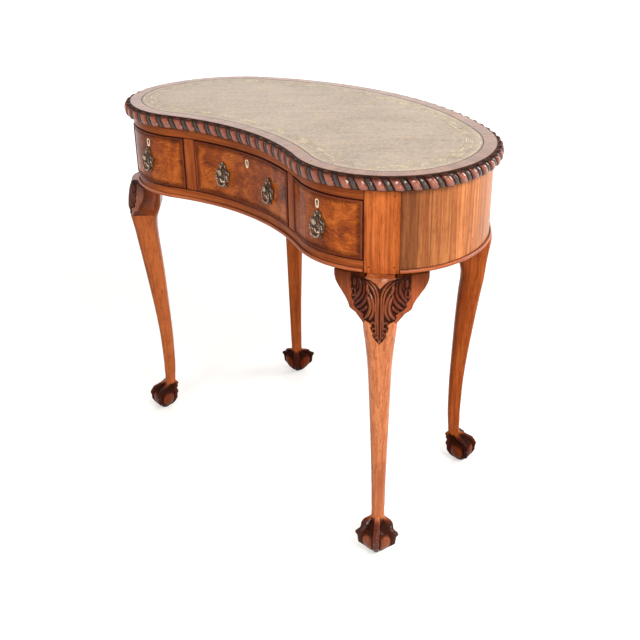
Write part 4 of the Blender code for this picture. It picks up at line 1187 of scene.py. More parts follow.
@dataclass(frozen=True)
class ClawFoot:
    """Ball-and-claw foot: four knuckled talons on a ball, in metres.

    A pair of a height and a reach says where something fades out and over what height.
    """

    talons: tuple[float, ...] = (0.0, 76.0, 180.0, 284.0)
    gaps: Path = ((38.0, 27.0), (128.0, 37.0), (232.0, 37.0), (322.0, 27.0))
    half_width: float = 0.0056
    width_shares: Path = ((0.0, 0.35), (0.010, 0.80), (0.03, 0.90), (0.05, 1.0), (0.09, 0.7))
    crease: Pair = (1.22, 0.30)
    flank: float = 0.72
    flank_reach: float = 2.3
    shade_height: float = 0.003
    nail_height: float = 0.002
    middle_nail: float = 0.5
    # The side talons are darker than the middle ones, which is painted shade.
    side_nail_shade: float = 0.9
    bare_height: float = 0.0012
    web_foot: Pair = (0.0480, 0.004)
    web_head: Pair = (0.0700, 0.005)
    lip: Pair = (0.0495, 0.0030)
    floor_shade: Pair = (0.019, 0.013)
    tip_head: Pair = (0.0245, 0.003)
    nail_head: Pair = (0.0680, 0.006)
    # The oval fields place a painted lit oval on each face of the ball, with painted shade round
    # it.
    oval_height: float = 0.0285
    oval_half: float = 0.0175
    oval_rim: Pair = (1.15, 0.45)
    ball_head: Pair = (0.0560, 0.006)
    ball_shade: float = 0.80
    ball_light: float = 0.16
    stain_head: Pair = (0.0710, 0.006)
    undercut: float = 0.0008
    ball_rows: tuple[tuple[float, float, float, float], ...] = (
        (0.0000, -0.0040, 0.0070, 0.0080),
        (0.0025, -0.0040, 0.0108, 0.0130),
        (0.0080, -0.0040, 0.0168, 0.0196),
        (0.0150, -0.0040, 0.0214, 0.0256),
        (0.0230, -0.0040, 0.0244, 0.0298),
        (0.0310, -0.0040, 0.0256, 0.0314),
        (0.0400, -0.0044, 0.0252, 0.0308),
        (0.0480, -0.0052, 0.0232, 0.0280),
        (0.0530, -0.0076, 0.0206, 0.0238),
        (0.0580, -0.0112, 0.0178, 0.0196),
        (0.0630, -0.0164, 0.0146, 0.0156),
        (0.0685, -0.0206, 0.0125, 0.0130),
        (0.0880, -0.0228, 0.0122, 0.0126))
    front_rows: Path = (
        (0.0, 0.0006), (0.004, 0.0026), (0.010, 0.0044), (0.017, 0.0056), (0.024, 0.0070),
        (0.029, 0.0060), (0.034, 0.0066), (0.040, 0.0090), (0.046, 0.0078), (0.051, 0.0082),
        (0.055, 0.0106), (0.059, 0.0088), (0.063, 0.0094), (0.066, 0.0068), (0.069, 0.0026),
        (0.0720, 0.0))
    side_rows: Path = (
        (0.0, 0.0), (0.008, 0.0006), (0.014, 0.0020), (0.019, 0.0052), (0.023, 0.0074),
        (0.028, 0.0066), (0.034, 0.0070), (0.0405, 0.0096), (0.0445, 0.0132), (0.0475, 0.0140),
        (0.0500, 0.0110), (0.053, 0.0098), (0.057, 0.0118), (0.0610, 0.0140), (0.0635, 0.0132),
        (0.0660, 0.0082), (0.0680, 0.0026), (0.0705, 0.0))

    def angle_gap(self, angle: Array, degrees: float) -> Array:
        """Angle between directions round the foot and one of them in degrees."""
        return np.abs((angle - math.radians(degrees) + np.pi) % (2 * np.pi) - np.pi)

    def relief(self, angle: Array, z: Array, half_u: Array,
               half_v: Array) -> tuple[Array, Array, Array, Array]:
        """Height of the talons over the ball.

        Args:
            angle: Angle round the foot.
            z: Height over the floor.
            half_u: Half length of the ball there.
            half_v: Half width of the ball there.

        Returns:
            The height in metres, and as masks the painted shade in the creases, web, ring and
            floor zone, the nails (darker on the side talons by painted shade) and how far the
            foot is darkened, less on the painted lit ovals of the ball.
        """
        rise, hollow, nail = np.zeros_like(z), np.zeros_like(z), np.zeros_like(z)
        radius = np.hypot(half_u * np.cos(angle), half_v * np.sin(angle))
        half = self.half_width * np.interp(z, *np.array(self.width_shares).T)
        for degrees in self.talons:
            middle = degrees in (0.0, 180.0)
            rows = self.front_rows if middle else self.side_rows
            tall = ease(np.array(rows), z)[..., 0]
            across = self.angle_gap(angle, degrees) * radius / half
            body = np.sqrt(np.maximum(1 - across**2, 0.0))
            rise = np.maximum(rise, tall * body)
            # Painted shade in the creases beside each talon and on the ball's flanks next to it.
            beside = hump(across, *self.crease)
            flank = self.flank * below(across, self.flank_reach, 1.0) * (body == 0)
            beside = np.maximum(beside, flank)
            hollow = np.maximum(hollow, beside * above(tall, 0.0, self.shade_height))
            # Side talons are darker than the middle ones: painted shade on the talons that face
            # away.
            dark = self.middle_nail if middle else self.side_nail_shade
            nail = np.maximum(nail, above(tall * body, 0.0, self.nail_height) * dark)
        # Painted shade: the web between the talons, a ring at the ball's top under them, and the
        # foot near the floor.
        open_ball = np.clip(1 - rise / self.bare_height, 0, 1)
        web = above(z, *self.web_foot) * below(z, *self.web_head) * open_ball
        lip = hump(z, *self.lip) * open_ball
        low = below(z, *self.floor_shade)
        hollow = np.maximum(np.maximum(hollow, low), np.maximum(web, lip))
        tip = above(rise, 0.0, self.nail_height) * below(z, *self.tip_head)
        nail = np.maximum(nail, tip) * below(z, *self.nail_head)
        # A painted highlight: a lit oval on each face of the ball, with painted shade on the ball
        # round it.
        shown = np.zeros_like(z)
        for degrees, wide in self.gaps:
            gap = self.angle_gap(angle, degrees) / math.radians(wide)
            oval = gap**2 + ((z - self.oval_height) / self.oval_half) ** 2
            shown = np.maximum(shown, below(oval, *self.oval_rim))
        round_ball = (1 - shown) * open_ball * below(z, *self.ball_head)
        hollow = np.maximum(hollow, self.ball_shade * round_ball)
        stain_and_lit_oval = below(z, *self.stain_head) * (1 - self.ball_light * shown)
        return rise - self.undercut * np.maximum(lip, round_ball), hollow, nail, stain_and_lit_oval


@dataclass
class CabrioleLeg:
    """One cabriole leg with its post or stile, knee and foot."""

    name: str
    stance: Stance
    carved: bool
    setback: float = 0.044
    carved_powers: Path = ((0.088, 2.0), (0.14, 2.7), (0.47, 2.7), (0.500, 3.9), (0.512, 9.0),
                           (0.520, 20.0))
    plain_powers: Path = ((0.088, 2.0), (0.14, 2.7))
    stile_depth: float = 0.038
    stile_width: float = 0.048
    stile_columns: int = 9
    post_columns: int = 12
    foot_top: float = 0.088
    knee_foot: float = 0.462
    foot_rows: int = 84
    shaft_rows: int = 54
    knee_rows: int = 152
    face_turn: float = 100.0
    front_share: float = 0.15
    front_rate: float = 3.0
    face_start: Pair = (0.494, 0.022)
    shade_width: float = 0.0024
    rear_shares: tuple[tuple[float, ...], ...] = (
        (1.000, 0.45, 1.420, 1.000), (0.974, 0.72, 1.400, 1.000), (0.941, 0.90, 1.300, 1.000),
        (0.899, 1.00, 1.100, 1.000), (0.861, 0.90, 0.880, 1.000), (0.830, 0.82, 0.780, 0.930))
    face_columns: int = 150
    back_columns: int = 42
    foot: ClawFoot = ClawFoot()

    def profile(self, z: Array) -> tuple[Array, Array, Array, Array]:
        """Sections of the leg.

        Args:
            z: Heights.

        Returns:
            Middle, half depth, half width and roundness at each height.
        """
        shares = KNEE.front_shares if self.carved else self.rear_shares + KNEE.front_shares[6:]
        table = []
        for lift, front, back, width in shares:
            near, far = KNEE.reach * front, -self.setback * back
            table.append((KNEE.shoulder * lift, (near + far) / 2, (near - far) / 2,
                          KNEE.half_width * width))
        table += [row for row in reversed(self.foot.ball_rows)]
        found = ease(np.array(table), z)
        rows = self.carved_powers if self.carved else self.plain_powers
        power = np.interp(z, *np.array(rows).T)
        return found[:, 0], found[:, 1], found[:, 2], power

    def heights(self) -> Array:
        """Heights of the rows, close on the foot and on the carving.

        Returns:
            The heights from the floor to the shoulder.
        """
        foot = np.linspace(0.0, self.foot_top, self.foot_rows)
        if not self.carved:
            shaft = np.linspace(self.foot_top, KNEE.shoulder, self.foot_rows)
            return np.concatenate([foot, shaft[1:]])
        shaft = np.linspace(self.foot_top, self.knee_foot, self.shaft_rows)
        knee = np.linspace(self.knee_foot, KNEE.shoulder, self.knee_rows)
        return np.concatenate([foot, shaft[1:], knee[1:]])

    def build_leg(self) -> Piece:
        """Make the leg from the shoulder to the floor.

        Returns:
            The new object.
        """
        z = self.heights()
        middle, half_u, half_v, power = (a[:, None] for a in self.profile(z))
        turn = self.face_turn
        angle = np.radians(np.concatenate([
            np.linspace(-turn, turn, self.face_columns, endpoint=False),
            np.linspace(turn, 360 - turn, self.back_columns, endpoint=False)]))[None]
        z = np.broadcast_to(z[:, None], (len(z), angle.size))
        c, s = np.cos(angle), np.sin(angle)
        size = (np.abs(c) ** power + np.abs(s) ** power) ** (-1 / power)
        # The foot's marks: painted shade in its hollows, and a darker colour that is lighter on
        # the painted lit ovals.
        rise, hollow, nail, field = self.foot.relief(np.broadcast_to(angle, z.shape), z,
                                                     half_u, half_v)
        u = middle + half_u * c * size + rise * c
        v = half_v * s * size + rise * s
        if self.carved:
            lift, shade, carved = CARVING.relief(v * 1000, (KNEE.shoulder - z) * 1000)
            front = np.clip((c + self.front_share) * self.front_rate, 0, 1)
            meet = above(z, *self.face_start)
            u = u + lift / 1000 * front - KNEE.fall(v, z) * meet**2 * (3 - 2 * meet) * front
            # The carving's painted shade joins the foot's in the hollow mark.
            hollow = np.maximum(hollow, shade * front)
            field = np.maximum(field, carved * front)
        points = self.stance.place(u, v, z)
        grain = np.stack([v, z + self.stance.x * self.stance.side, u], -1)
        shell = Shell(self.name).tube(points, grain=grain, hollow=hollow, nail=nail,
                                      field=field)
        return shell.build(70)

    def build_stile(self) -> Piece:
        """Make the post over a front leg or the stile over a rear one.

        Returns:
            The new object.
        """
        low, high = DESK.carcase_underside, DESK.carcase_top
        name = f"{self.name}_post"
        if not self.carved:
            total = 2 * PLAN.half_length()
            near = DESK.rear_station - self.stile_width / 2
            far = DESK.rear_station + self.stile_width / 2
            if self.stance.side < 0:
                near, far = total - far, total - near
            outer = -DESK.frieze_thickness - DESK.fit_gap
            section = [(outer - self.stile_depth, low), (outer, low), (outer, high),
                       (outer - self.stile_depth, high)]
            distance = np.linspace(near, far, self.stile_columns)
            return sweep(name, distance, np.array(section), Grain.UP, 9.0).build()
        distance = np.linspace(DESK.post_start, DESK.post_end, self.post_columns)
        distance = np.insert(distance, 1, DESK.post_start + np.array([0.5, 1.0]) * self.shade_width)
        distance = np.insert(distance, -1, DESK.post_end - self.shade_width / 2)
        loop = list(PLAN.spot(distance)[0])
        end, ray = PLAN.spot(DESK.post_end)
        loop.append(end - ray * self.stile_depth)
        out = np.array([math.cos(self.stance.direction), math.sin(self.stance.direction)])
        across = np.array([-out[1], out[0]])
        inner = np.array([self.stance.x, self.stance.y]) - out * self.stile_depth
        loop.append(inner + across * (DESK.post_face - inner[0]) / across[0])
        loop = np.array(loop)
        centre = np.array([self.stance.x, self.stance.y])
        # Painted shade along the post's edges by the drawer and the frieze, and on its inner
        # faces.
        shade_and_grime = np.zeros((2, len(loop)))
        shade_and_grime[:, [0, 1, len(distance) - 1]] = (1.0, 1.0, 0.8)
        shade_and_grime[:, len(distance):] = 1.0
        rings, grains = [], []
        for z in (low, high):
            rings.append(np.column_stack([loop[:, 0] * self.stance.side, loop[:, 1],
                                          np.full(len(loop), z)]))
            grains.append(np.column_stack([(loop - centre) @ across,
                                           np.full(len(loop), z + self.stance.side),
                                           (loop - centre) @ out]))
        return Shell(name).tube(np.stack(rings), grain=np.stack(grains), hollow=shade_and_grime).build()

    def build(self) -> list[Piece]:
        """Make the leg and what stands over it, as a list."""
        return [self.build_leg(), self.build_stile()]


@dataclass
class EarBlock:
    """Shaped block beside a front knee, that carries the carving on.

    The shades and roundings at its head and foot are shares of its height, and depths.
    """

    name: str
    stance: Stance
    hand: int
    depth: float = 0.022
    height: float = 0.083
    lap: float = 0.0030
    columns: int = 72
    rows: int = 96
    head_shades: Path = ((0.85, 0.005), (0.75, 0.034))
    foot_shade: Pair = (0.95, 0.05)
    foot_strength: float = 0.7
    foot_round: Pair = (0.93, 0.07)
    foot_setback: float = 0.0035
    head_round: float = 0.05
    head_setback: float = 0.002
    edge_shares: Path = (
        (0.335, 1.01), (0.42, 0.92), (0.52, 0.81), (0.60, 0.780), (0.648, 0.755),
        (0.664, 0.735), (0.676, 0.685), (0.70, 0.635), (0.74, 0.565), (0.84, 0.440),
        (0.92, 0.340), (0.975, 0.240), (1.00, 0.13))

    def build(self) -> Piece:
        """Make the block.

        Returns:
            The new object.
        """
        start = (KNEE.half_width - self.lap) / KNEE.span
        place = np.linspace(start, 1.0, self.columns)
        low = np.interp(place, *np.array(self.edge_shares).T)
        v = KNEE.span * place
        bend = (PLAN.lobe_radius - np.sqrt(PLAN.lobe_radius**2 - v**2))[:, None]
        down = np.linspace(0, 1, self.rows)
        drop = self.height * low[:, None] * down[None]
        z = KNEE.shoulder - drop
        lift, hollow, field = CARVING.relief(
            np.broadcast_to(v[:, None] * 1000, drop.shape), drop * 1000)
        # Painted shade darkens the ear's head, under the carcase, and its foot.
        for strength, depth in self.head_shades:
            hollow = np.maximum(hollow, strength * np.clip(1 - drop / depth, 0, 1))
        hollow = np.maximum(hollow, above(down[None], *self.foot_shade) * self.foot_strength)
        foot = above(down, *self.foot_round)
        head = below(down, self.head_round, self.head_round)
        rounding = self.foot_setback * (1 - np.sqrt(1 - foot**2)) \
            + self.head_setback * (1 - np.sqrt(1 - head**2))
        u = KNEE.front(z) - KNEE.fall(v[:, None], z) + lift / 1000 - rounding[None]
        back = -self.depth - bend
        rows_u = np.concatenate([back, u, back], 1)
        rows_drop = np.concatenate([drop[:, :1], drop, drop[:, -1:]], 1)
        across = np.broadcast_to(self.hand * v[:, None], rows_u.shape)
        points = self.stance.place(rows_u, across, KNEE.shoulder - rows_drop)
        pad = ((0, 0), (1, 1))
        grain = np.stack([across, -rows_drop + self.hand, rows_u], -1)
        shell = Shell(self.name).tube(points, grain=grain, hollow=np.pad(hollow, pad),
                                      field=np.pad(field, pad))
        return shell.build(50)


@dataclass(frozen=True)
class FaceFrame:
    """Frame on the drawer front: x along it, y into it and z up."""

    origin: Triple
    turn: float

    @classmethod
    def at(cls, station: float, offset: float, height: float) -> "FaceFrame":
        """Frame at a place on the drawer front.

        Args:
            station: Distance along the outline.
            offset: How far outwards it lies.
            height: Its height.

        Returns:
            The frame.
        """
        point, ray = PLAN.spot(station, offset)
        return cls((float(point[0]), float(point[1]), height),
                   math.atan2(ray[1], ray[0]) + math.pi / 2)

    def place(self, x: Array, y: Array, z: Array) -> Array:
        """World points for places in the frame.

        Args:
            x: Along the front.
            y: Into it.
            z: Up.

        Returns:
            The points.
        """
        x, y, z = np.broadcast_arrays(x, y, z)
        c, s = math.cos(self.turn), math.sin(self.turn)
        return np.stack([self.origin[0] + c * x - s * y, self.origin[1] + s * x + c * y,
                         self.origin[2] + z], -1)


@dataclass
class DrawerFront:
    """The burr veneer, cockbead and keyhole liner on the face of one drawer."""

    word: str
    low: float
    high: float
    key_x: float
    clearance: float = 0.001
    bead_width: float = 0.003
    bead_depth: float = 0.008
    bead_reach: float = 0.002
    veneer: float = 0.0005
    step: float = 0.005
    cut_radius: float = 0.0029
    cut_half: float = 0.0017
    cut_drop: float = 0.0095
    cut_reach: float = 0.01
    liner_width: float = 0.0088
    liner_height: float = 0.0170
    liner_hole: float = 0.0027
    liner_slot: float = 0.0062
    liner_foot: float = 0.85
    slot_half: float = 0.0013
    slot_start: float = -0.35
    liner_rows: Path = ((0.0, -0.0004), (0.0, 0.0003), (0.15, 0.0005), (0.85, 0.0005),
                        (1.0, 0.0003), (1.0, -0.0002))
    liner_columns: int = 40
    shade_plate_half: float = 0.003
    shade_plate_drop: float = 0.0105
    shade_plate_depth: float = 0.0003
    shade_plate_thickness: float = 0.0008
    shade_width: float = 0.009
    shade_steps: tuple[float, ...] = (0.001, 0.003, 0.006, 0.009)
    shade_strength: float = 0.62
    board: float = 0.0

    @property
    def keyhole(self) -> "FaceFrame":
        """Frame at the keyhole, on the veneer."""
        return FaceFrame.at(PLAN.face_distance(self.key_x), self.veneer, DESK.keyhole_height)

    def build_veneer(self) -> Piece:
        """Make the veneer face with its keyhole cut.

        Returns:
            The new object.
        """
        inset = self.clearance + self.bead_width + DESK.fit_gap
        x = np.linspace(self.low + inset, self.high - inset,
                        round((self.high - self.low) / self.step))
        bottom, top = DESK.opening_low + inset, DESK.opening_high - inset
        steps = np.array(self.shade_steps)
        x = np.sort(np.concatenate([x, x[0] + steps, x[-1] - steps]))
        z = np.concatenate([[bottom], bottom + steps, top - steps[::-1], [top]])
        z = np.sort(np.concatenate([z, np.linspace(bottom, top, 7)[1:-1]]))
        face_rows = np.column_stack([np.full(len(z), self.veneer), z])
        section = np.vstack([[(-self.veneer, bottom)], face_rows, [(-self.veneer, top)]])
        # Painted shadow of the drawer gap darkens the veneer towards its edges.
        shade = np.maximum(edge_shading(x, x[0], x[-1], self.shade_width)[:, None],
                           edge_shading(section[:, 1], bottom, top, self.shade_width)[None]) ** 2
        face = face_sweep(f"{self.word}_drawer_veneer", x, section, Grain.UP, self.board,
                          shade * self.shade_strength).build()
        turn = full_turn(24)
        y, z = float(PLAN.face_y(self.key_x)), DESK.keyhole_height
        near, far = y - self.cut_reach, y + self.cut_reach
        ring = np.column_stack([self.key_x + self.cut_radius * np.cos(turn),
                                np.full(len(turn), near), z + self.cut_radius * np.sin(turn)])
        hole = prism("keyhole_round", ring, np.array([0.0, far - near, 0.0]))
        slot = block("keyhole_slot", (self.key_x - self.cut_half, near, z - self.cut_drop),
                     (self.key_x + self.cut_half, far, z))
        return carve_out(face, [hole, slot])

    def build_bead(self) -> Piece:
        """Make the cockbead round the drawer front.

        Returns:
            The new object.
        """
        low, high = self.low + self.clearance, self.high - self.clearance
        bottom, top = DESK.opening_low + self.clearance, DESK.opening_high - self.clearance
        across = np.linspace(low, high, round((high - low) / self.step))
        up = np.linspace(bottom, top, 12)
        path = [(x, bottom) for x in across] + [(high, z) for z in up[1:]]
        path += [(x, top) for x in across[::-1][1:]] + [(low, z) for z in up[::-1][1:-1]]
        path = np.array(path)
        lean = np.zeros_like(path)
        lean[np.isclose(path[:, 0], low), 0] = 1
        lean[np.isclose(path[:, 0], high), 0] = -1
        lean[np.isclose(path[:, 1], bottom), 1] = 1
        lean[np.isclose(path[:, 1], top), 1] = -1
        w, r = self.bead_width, self.bead_reach
        turn = np.linspace(0, math.pi, 9)
        nose = [(w / 2 - w / 2 * math.cos(t), r - w / 2 + w / 2 * math.sin(t)) for t in turn]
        section = np.array([(0.0, -self.bead_depth)] + nose + [(w, -self.bead_depth)])
        x = path[:, None, 0] + lean[:, None, 0] * section[None, :, 0]
        z = path[:, None, 1] + lean[:, None, 1] * section[None, :, 0]
        y = np.stack([PLAN.face_y(x[:, k], section[k, 1]) for k in range(len(section))], 1)
        run = np.cumsum(np.hypot(*np.diff(path, axis=0, prepend=path[:1]).T))
        grain = np.stack([np.broadcast_to(section[None, :, 0], x.shape),
                          np.broadcast_to(run[:, None], x.shape), z * 0 + self.low], -1)
        shell = Shell(f"{self.word}_cockbead_dressed")
        # Painted shade on the bead's two edges at its foot, where it meets the gap and the
        # veneer.
        rim = [1.0, 0.9]
        shade_and_grime = np.array(rim + [0.0] * (len(nose) - 2) + rim[::-1])
        return shell.grid(np.stack([x, y, z], -1), wrap=True, close=True, grain=grain,
                          hollow=np.broadcast_to(shade_and_grime, x.shape)).build()

    def build_liner(self) -> Piece:
        """Make the brass liner round the keyhole.

        Returns:
            The new object.
        """
        turn = full_turn(self.liner_columns)
        cx, cz = np.cos(turn), np.sin(turn)
        down = np.where(cz < 0, self.liner_width - self.liner_height, 0.0)
        narrow = np.where(cz < 0, self.liner_foot, 1.0)
        size, hole, half = self.liner_width / 2, self.liner_hole, self.slot_half
        outer = np.stack([size * cx * narrow, size * cz * narrow + down])
        slot = cz < self.slot_start
        inner = np.stack([np.where(slot, np.clip(hole * cx, -half, half), hole * cx),
                          hole * cz - np.where(slot, self.liner_slot, 0.0)])
        rings = []
        for share, rise in self.liner_rows:
            x, z = outer + (inner - outer) * share
            rings.append(self.keyhole.place(x, np.full(len(turn), -rise), z))
        return Shell(f"{self.word}_keyhole_liner").grid(np.stack(rings), wrap=True,
                                                        close=True).build()

    def build_shade_plate(self) -> Piece:
        """Make a near-black plate behind the keyhole, a painted shade for the dark inside of the
        lock.

        Returns:
            The new object.
        """
        here, half, drop = self.keyhole, self.shade_plate_half, self.shade_plate_drop
        ring = here.place(np.array([-half, half, half, -half]), np.full(4, self.shade_plate_depth),
                          np.array([-drop, -drop, half, half]))
        inwards = np.array([-math.sin(here.turn), math.cos(here.turn), 0.0])
        return prism(f"{self.word}_keyhole_shade_plate", ring, inwards * self.shade_plate_thickness)

    def build(self) -> dict[str, Piece]:
        """Make the four pieces of the face, by what they are."""
        return {"veneer": self.build_veneer(), "bead": self.build_bead(),
                "liner": self.build_liner(), "shade_plate": self.build_shade_plate()}


@dataclass
class CastHandle:
    """Cast backplate with scrolls, a rosette and boss, and the hinged drop.

    The rim, scrolls, dish and holes of the plate each lie at a share of the way out and
    reach a share to both sides.
    """

    word: str
    station: float
    standoff: float = 0.0008
    height: float = 0.6665
    width: float = 0.037
    tall: float = 0.052
    thickness: float = 0.002
    drop_down: float = 0.006
    seating: float = 0.0001
    plate_columns: int = 144
    plate_rows: int = 26
    margin: float = 0.0012
    lobes: int = 9
    scallop: float = 0.0022
    scallop_power: float = 0.6
    notch: float = 0.0030
    notch_place: Pair = (0.78, 0.10)
    taper: float = 6.0
    waist: float = 0.20
    waist_place: Pair = (0.72, 0.22)
    rim: Pair = (0.90, 0.07)
    rim_height: float = 0.0012
    scrolls: Pair = (0.62, 0.16)
    scroll_height: float = 0.0017
    dish: Pair = (0.0, 0.33)
    dish_height: float = 0.0012
    scroll_holes: Pair = (0.60, 0.13)
    ray_holes: Pair = (0.80, 0.05)
    hole_depth: float = 0.0009
    bright_height: float = 0.0016
    boss_rows: Path = (
        (0.0080, 0.0016), (0.0082, 0.0030), (0.0070, 0.0040), (0.0056, 0.0044),
        (0.0046, 0.0052), (0.0040, 0.0068), (0.0046, 0.0084), (0.0056, 0.0096),
        (0.0058, 0.0108), (0.0050, 0.0120), (0.0034, 0.0127), (0.0014, 0.0130),
        (0.0002, 0.0130))
    boss_columns: int = 48
    petals: int = 8
    petal_size: float = 0.10
    petal_place: Pair = (0.0030, 0.0012)
    beads: int = 12
    bead_size: float = 0.06
    bead_place: Pair = (0.0102, 0.0012)
    bright_reach: Pair = (0.0096, 0.002)
    axis_reach: float = 0.0082
    drop_width: float = 0.024
    drop_height: float = 0.027
    wire: float = 0.0016
    wire_columns: int = 12
    wire_share: float = 0.92
    foot_swell: float = 0.55
    foot_place: Pair = (0.93, 0.14)
    ridge: float = 0.20
    ridge_pitch: float = 0.0034
    ridge_start: Pair = (0.1, 0.2)
    hinge_share: float = 0.06
    ridge_light: Pair = (0.95, 0.2)
    drop_shares: Path = (
        (0.0, 0.0), (0.50, 0.0), (0.80, 0.07), (0.96, 0.24), (1.00, 0.46), (0.90, 0.71),
        (0.58, 0.92), (0.0, 1.0))

    @property
    def frame(self) -> FaceFrame:
        """Frame of the backplate."""
        return FaceFrame.at(self.station, self.standoff, self.height)

    def plate_outline(self, angle: Array) -> tuple[Array, Array]:
        """Outline of the scalloped and notched plate.

        Args:
            angle: Angles round its middle.

        Returns:
            Half width and half height at each angle.
        """
        ripple = np.abs(np.cos(self.lobes / 2 * (angle - np.pi / 2)))
        scallop = self.scallop * ripple**self.scallop_power - self.scallop / 2
        notch = self.notch * hump(np.abs(np.cos(angle)), *self.notch_place)
        pinch = 1 - np.abs(np.sin(angle)) * np.sin(angle) / self.taper
        pinch = pinch - self.waist * hump(np.abs(np.sin(angle)), *self.waist_place)
        return ((self.width / 2 - self.margin + scallop - notch) * np.cos(angle) * pinch,
                (self.tall / 2 - self.margin + scallop - notch) * np.sin(angle))

    def plate_relief(self, angle: Array, share: Array) -> Array:
        """Height of the plate's rays, scrolls and dish, with its holes taken out.

        Args:
            angle: Angles round its middle.
            share: Shares of the way to its rim.

        Returns:
            The height at each place.
        """
        rays = 0.5 + 0.5 * np.cos(self.lobes * (angle - np.pi / 2))
        whorl = 0.5 + 0.5 * np.cos(5 * angle + 14 * share + 2.2 * np.sin(2 * angle))
        rise = self.rim_height * hump(share, *self.rim) * (0.45 + 0.55 * rays) \
            + self.scroll_height * (hump(share, *self.scrolls) * whorl) \
            + self.dish_height * hump(share, *self.dish)
        holes = hump(share, *self.scroll_holes) * (1 - whorl) ** 2
        holes = np.maximum(holes, hump(share, *self.ray_holes) * (1 - rays) ** 2)
        return rise - self.hole_depth * holes

    def build_plate(self) -> Piece:
        """Make the backplate with its relief.

        Returns:
            The new object.
        """
        angle = full_turn(self.plate_columns)[None]
        share = np.linspace(0.0, 1.0, self.plate_rows)[:, None]
        half_x, half_z = self.plate_outline(angle)
        x, z = half_x * share, half_z * share - self.drop_down
        rise = self.plate_relief(angle, share)
        front = self.frame.place(x, -(self.thickness + rise), z)
        edge = self.frame.place(x[-1], np.full(self.plate_columns, -self.seating), z[-1])
        shell = Shell(f"{self.word}_handle_plate_dressed")
        shell.grid(front, wrap=True, peak=above(rise, 0.0, self.bright_height))
        shell.grid(np.stack([front[-1], edge]), wrap=True)
        shell.fill(edge)
        return shell.build(50)

    def build_boss(self) -> Piece:
        """Make the boss with its petalled rosette and ring of beads.

        Returns:
            The new object.
        """
        angle = full_turn(self.boss_columns)[None]
        rows = np.array(self.boss_rows)
        radius, reach = rows[:, :1], rows[:, 1:]
        beads = np.cos(self.beads * angle)
        petal = 1 + self.petal_size * np.cos(self.petals * angle) * hump(reach, *self.petal_place)
        bead = 1 + self.bead_size * beads * hump(reach, *self.bead_place)
        radius = radius * petal * bead
        points = self.frame.place(radius * np.cos(angle), -reach * np.ones_like(angle),
                                  radius * np.sin(angle))
        peak = above(reach, *self.bright_reach) * (0.55 + 0.45 * beads)
        return Shell(f"{self.word}_handle_boss").tube(points, peak=peak).build(60)

    def build_drop(self) -> Piece:
        """Make the hinged drop, thicker and scrolled at its foot.

        Returns:
            The new object.
        """
        half = smooth_path(np.array(self.drop_shares), 7)
        left = half[::-1][1:-1] * np.array([-1.0, 1.0])
        loop = np.vstack([half, left]) * np.array([self.drop_width / 2, -self.drop_height])
        run = np.roll(loop, -1, 0) - np.roll(loop, 1, 0)
        run /= np.hypot(run[:, 0], run[:, 1])[:, None] + 1e-12
        normal = np.column_stack([run[:, 1], -run[:, 0]])
        low = -loop[:, 1] / self.drop_height
        radius = self.wire * (self.wire_share + self.foot_swell * hump(low, *self.foot_place))
        length = np.cumsum(np.hypot(*np.diff(loop, axis=0, prepend=loop[:1]).T))
        ridges = np.cos(length / self.ridge_pitch * 2 * np.pi) * above(low, *self.ridge_start)
        ridges = 1 + self.ridge * ridges
        radius = np.where(low < self.hinge_share, self.wire, radius * ridges)
        turn = full_turn(self.wire_columns)
        x = loop[:, None, 0] + normal[:, None, 0] * radius[:, None] * np.cos(turn)
        z = loop[:, None, 1] + normal[:, None, 1] * radius[:, None] * np.cos(turn)
        y = radius[:, None] * np.sin(turn) - self.axis_reach
        points = self.frame.place(x, y, z)
        peak = above(ridges[:, None], *self.ridge_light) * np.clip(-np.sin(turn), 0, 1)
        shell = Shell(f"{self.word}_handle_drop_dressed")
        return shell.grid(points, wrap=True, close=True, peak=peak).build(70)


@dataclass
class PostPegs:
    """Small dark pegs that pin the rail tenons in the front posts."""

    side: int
    word: str
    radius: float = 0.0016
    proud: float = 0.0001
    depth: float = 0.004
    columns: int = 12
    places: Path = ((0.009, 0.6005), (0.0525, 0.6015), (0.051, 0.7265))

    def build(self) -> list[Piece]:
        """Make the pegs.

        Returns:
            The new objects.
        """
        made = []
        turn = full_turn(self.columns)
        for number, (along, height) in enumerate(self.places, 1):
            spot = FaceFrame.at(self.side * (DESK.post_start + along), 0.0, height)
            rings = []
            for size, reach in ((1.0, -self.depth), (1.0, self.proud * 0.4),
                                (0.8, self.proud), (0.3, self.proud)):
                rings.append(spot.place(self.radius * size * np.cos(turn),
                                        np.full(self.columns, -reach),
                                        self.radius * size * np.sin(turn)))
            made.append(Shell(f"{self.word}_post_peg_{number}").tube(np.stack(rings)).build())
        return made


def rgba(colour: Colour) -> tuple[float, float, float, float]:
    """Colour with full cover."""
    return (*colour, 1.0)


